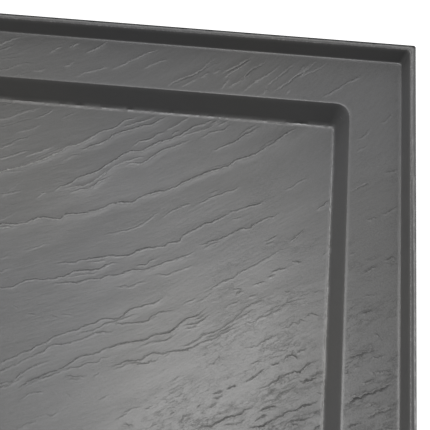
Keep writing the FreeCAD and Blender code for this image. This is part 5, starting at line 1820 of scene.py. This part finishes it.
    def build_underside(self, material: bpy.types.Material) -> None:
        """Copies the ribbed back from the CAD shell and leaves out the faces that the slate pieces stand for.

        Left out are faces that look up, the outer faces of the skirt and upstand, and those inside the waste.

        Args:
            material: the raw casting.
        """
        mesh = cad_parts["tray_shell"].data
        corners = np.zeros(len(mesh.loops), int)
        mesh.loops.foreach_get("vertex_index", corners)
        places = np.zeros(len(mesh.vertices) * 3, np.float32)
        mesh.vertices.foreach_get("co", places)
        points = places.reshape(-1, 3).astype(float) / MM
        faces = corners.reshape(-1, 3)
        merged, index = np.unique(np.round(points, 3), axis=0, return_inverse=True)
        faces = index.ravel()[faces]
        a, b, c = merged[faces[:, 0]], merged[faces[:, 1]], merged[faces[:, 2]]
        normal = np.cross(b - a, c - a)
        normal = normal / np.maximum(np.linalg.norm(normal, axis=1), 1e-9)[:, None]
        centre = (a + b + c) / 3.0
        walls = (self.half_length - 3.0, self.half_width - 3.0)
        outer = (np.abs(centre[:, :2]) > walls).any(axis=1)
        sideways = np.abs(normal[:, 2]) < 0.5
        waste = (np.hypot(centre[:, 0], centre[:, 1]) < self.recess_radius + 0.2) & (normal[:, 2] > -0.5)
        faces = faces[~((normal[:, 2] > 0.05) | (outer & sideways) | waste)]
        used = np.unique(faces)
        renumber = np.zeros(len(merged), int)
        renumber[used] = np.arange(len(used))
        piece = mesh_object("tray_underside", merged[used], renumber[faces])
        piece.data.shade_flat()
        piece.data.materials.append(material)
        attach(piece, "tray")
        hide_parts("tray_shell")
        log.info("tray_underside: %d faces", len(faces))

    def build(self, slate: bpy.types.Material, raw: bpy.types.Material) -> None:
        """Builds the three pieces that stand for the cast shell.

        Args:
            slate: the slate finish.
            raw: the raw back's finish.
        """
        start = self.build_floor(slate)
        self.build_surround(start, slate)
        self.build_underside(raw)


# ---------------------------------------------------------------- legs and waste


class LegPlace(Enum):
    """Where the six levelling legs stand, in millimetres."""

    FRONT_LEFT = (-470.0, -270.0)
    FRONT_MIDDLE = (0.0, -270.0)
    FRONT_RIGHT = (470.0, -270.0)
    BACK_LEFT = (-470.0, 270.0)
    BACK_MIDDLE = (0.0, 270.0)
    BACK_RIGHT = (470.0, 270.0)


@dataclass
class LevellingLeg:
    """One levelling leg: plate and sleeve, lock nut, threaded spindle and foot."""

    place: LegPlace
    radius: float = 6.0
    pitch: float = 1.75
    thread_depth: float = 1.0
    pin_radius: float = 5.0
    pin_end: float = 6.0
    hexagon_foot: float = 16.0
    hexagon_top: float = 24.0
    hexagon_flats: float = 17.0
    top: float = 118.0
    chamfer: float = 1.0
    tip: float = 0.001
    around: int = 48

    def spindle_rows(self) -> tuple[np.ndarray, np.ndarray, np.ndarray]:
        """The spindle's surface over its height and the angle round it.

        Above the hexagon the radius is the rod's less the thread's depth times a flat-topped wave of the
        height over the pitch less the angle's share of a turn. On the hexagon it is half the flats over the
        cosine of the angle from the nearest flat, cut by a cone at both ends. Below it is the pin.

        Returns:
            Radii, angles and heights, as (rows, around).
        """
        turn = np.linspace(0.0, 2.0 * math.pi, self.around, endpoint=False)
        pin = np.array([self.pin_end, self.pin_end, self.hexagon_foot])
        body = np.linspace(self.hexagon_foot, self.hexagon_top, 9)
        rod = np.arange(self.hexagon_top, self.top, self.pitch / 6.0)
        height = np.concatenate([pin, body, rod, [self.top, self.top]])
        angle, level = np.meshgrid(turn, height)
        radius = np.full_like(level, self.radius)
        radius[0] = self.tip
        radius[1:3] = self.pin_radius
        flat = (angle + math.pi / 6.0) % (math.pi / 3.0) - math.pi / 6.0
        hexagon = self.hexagon_flats / 2.0 / np.cos(flat)
        inset = np.minimum(level - self.hexagon_foot, self.hexagon_top - level)
        on_hexagon = slice(3, 3 + len(body))
        radius[on_hexagon] = np.minimum(hexagon, self.hexagon_flats / 2.0 * 1.03 + inset * 1.6)[on_hexagon]
        wave = np.abs(((level - self.hexagon_top) / self.pitch - angle / (2.0 * math.pi)) % 1.0 - 0.5) * 2.0
        groove = np.clip(wave * 1.25 - 0.1, 0.0, 1.0)
        end = smooth(level, self.hexagon_top, self.hexagon_top + 3.0)
        cone = np.clip((level - self.top + self.chamfer) / self.chamfer, 0.0, 1.0) * self.chamfer
        on_rod = slice(3 + len(body), len(height))
        radius[on_rod] = (self.radius - 0.02 - np.maximum(groove * self.thread_depth * end, cone))[on_rod]
        radius[-1] = self.tip
        return radius, angle, level

    def build_spindle(self, material: bpy.types.Material) -> None:
        """Builds the spindle with its rolled thread in the place of the plain CAD rod.

        Args:
            material: the zinc-plated steel.
        """
        name = self.place.name.lower()
        radius, angle, level = self.spindle_rows()
        x = self.place.value[0] + radius * np.cos(angle)
        y = self.place.value[1] + radius * np.sin(angle)
        points = np.stack([x, y, level], axis=2).reshape(-1, 3)
        loops = np.arange(len(points)).reshape(-1, self.around)
        quads = np.concatenate([ring_faces(low, high) for low, high in zip(loops, loops[1:])])
        piece = mesh_object(f"threaded_spindle_{name}", points, quads)
        piece.data.set_sharp_from_angle(angle=math.radians(38.0))
        piece.data.materials.append(material)
        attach(piece, f"leg_spindle_{name}")
        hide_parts(f"leg_spindle_{name}")
        log.info("threaded_spindle_%s: %d faces", name, len(quads))

    def finishes(self, library: dict[str, bpy.types.Material]) -> dict[str, bpy.types.Material]:
        """Picks the finish of each of the leg's carried-over nodes.

        Args:
            library: the finishes by short name.

        Returns:
            Finishes by node name.
        """
        name = self.place.name.lower()
        return {
            f"leg_socket_{name}": library["socket"],
            f"lock_nut_{name}": library["zinc"],
            f"leg_foot_{name}": library["foot"],
        }


@dataclass
class WasteSet:
    """The waste's carried-over nodes: cover, strainer, flange, trap and outlet."""

    steel_nodes: tuple = ("waste_cover", "waste_flange")
    rubber_nodes: tuple = ("flange_seal", "trap_seal", "dip_seal", "outlet_seal")

    def finishes(self, library: dict[str, bpy.types.Material]) -> dict[str, bpy.types.Material]:
        """Picks the finish of each node.

        Args:
            library: the finishes by short name.

        Returns:
            Finishes by node name.
        """
        chosen = {node: library["turned"] for node in self.steel_nodes}
        chosen |= {node: library["rubber"] for node in self.rubber_nodes}
        chosen |= {
            "flange_screws": library["screw"],
            "leg_screws": library["zinc"],
            "trap_bowl": library["white"],
            "dip_tube": library["pale"],
            "slip_ring": library["pale"],
            "hair_strainer": library["grey"],
            "cover_carrier": library["grey"],
            "outlet_nut": library["black"],
        }
        return chosen


# ---------------------------------------------------------------- studio


@dataclass
class Studio:
    """A pale floor, a soft key nearly overhead, a weak fill from the left and an even pale world."""

    white: tuple = (1.0, 1.0, 1.0, 1.0)
    floor_reach: float = 9000.0
    floor_paint: tuple = (0.8, 0.8, 0.8, 1.0)
    floor_glow: float = 0.34
    key_power: float = 2.4
    key_angle: float = 14.0
    key_from: tuple = (0.04, -0.105, 1.0)
    fill_power: float = 1.9
    fill_angle: float = 34.0
    fill_from: tuple = (-0.97, 0.05, 0.2)
    ambient: float = 0.25

    def sun(self, name: str, power: float, angle: float, source: tuple) -> None:
        """Adds one soft lamp at a great distance.

        Args:
            name: its name.
            power: its strength.
            angle: how wide it looks, in degrees.
            source: the direction that it shines from.
        """
        data = bpy.data.lights.new(name, "SUN")
        data.energy = power
        data.angle = math.radians(angle)
        lamp = bpy.data.objects.new(name, data)
        lamp.rotation_mode = "QUATERNION"
        lamp.rotation_quaternion = Vector(source).to_track_quat("Z", "Y")
        bpy.context.scene.collection.objects.link(lamp)

    def world(self) -> None:
        """Makes the world: white where it is seen, and a weak even light on the object."""
        world = bpy.data.worlds.new("studio")
        bpy.context.scene.world = world
        recipe = Recipe(world)
        strength = recipe.seen() * (1.0 - self.ambient) + self.ambient
        shader = recipe.node("ShaderNodeBackground", {}, {"Color": self.white, "Strength": strength})
        recipe.node("ShaderNodeOutputWorld", {}, {"Surface": shader})

    def floor(self) -> None:
        """Lays the pale floor, lifted where it is seen so that it shows white but for the object's shadow."""
        side = self.floor_reach
        points = np.array([(-side, -side, 0.0), (side, -side, 0.0), (side, side, 0.0), (-side, side, 0.0)])
        piece = mesh_object("studio_floor", points, np.array([[0, 1, 2, 3]]))
        recipe = Recipe.material("studio_floor")
        glowing = {"Color": self.white, "Strength": recipe.seen() * self.floor_glow}
        paint = recipe.node("ShaderNodeBsdfDiffuse", {}, {"Color": self.floor_paint})
        glow = recipe.node("ShaderNodeEmission", {}, glowing)
        both = recipe.node("ShaderNodeAddShader", {}, {0: paint, 1: glow})
        recipe.node("ShaderNodeOutputMaterial", {}, {"Surface": both})
        piece.data.materials.append(recipe.owner)

    def build(self) -> None:
        """Sets up the floor, the lamps, the world and the view transform."""
        self.floor()
        self.sun("key_light", self.key_power, self.key_angle, self.key_from)
        self.sun("fill_light", self.fill_power, self.fill_angle, self.fill_from)
        self.world()
        bpy.context.scene.view_settings.view_transform = "Standard"


def finish_library() -> dict[str, bpy.types.Material]:
    """Builds the finishes of the hardware.

    Returns:
        Materials by short name.
    """
    return {
        "turned": SteelFinish("turned_stainless", (0.62, 0.62, 0.60), Grain.ROUND, 0.42).material(),
        "screw": SteelFinish("screw_stainless", (0.70, 0.70, 0.70), Grain.LENGTH, 0.3).material(),
        "zinc": SteelFinish("zinc_plate", (0.58, 0.59, 0.60), Grain.NONE, 0.36).material(),
        "rubber": RubberFinish().material(),
        "white": PlasticFinish("white_moulding", (0.80, 0.80, 0.78), 0.38).material(),
        "pale": PlasticFinish("pale_grey_moulding", (0.62, 0.63, 0.64), 0.4).material(),
        "grey": PlasticFinish("grey_moulding", (0.24, 0.25, 0.26), 0.45).material(),
        "black": PlasticFinish("black_moulding", (0.06, 0.06, 0.065), 0.42, 0.05, 0.1).material(),
        "socket": PlasticFinish("socket_moulding", (0.045, 0.045, 0.048), 0.46, 0.05, 0.12).material(),
        "foot": PlasticFinish("foot_moulding", (0.04, 0.04, 0.04), 0.55, 0.07, 0.14).material(),
    }


def main() -> None:
    """Builds the tray, the legs, the waste, the studio and the camera, in that order."""
    logging.basicConfig(level=logging.INFO, format="%(name)s: %(message)s")
    library = finish_library()
    TrayBody().build(SlateFinish().material(), RawCastFinish().material())
    finishes = WasteSet().finishes(library)
    for place in LegPlace:
        leg = LevellingLeg(place)
        leg.build_spindle(library["zinc"])
        finishes |= leg.finishes(library)
    for node, material in finishes.items():
        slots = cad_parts[node].data.materials
        slots.clear()
        slots.append(material)
        log.info("%s: %s", node, material.name)
    Studio().build()
    PhotoCamera().build()


if __name__ == "__main__":
    main()
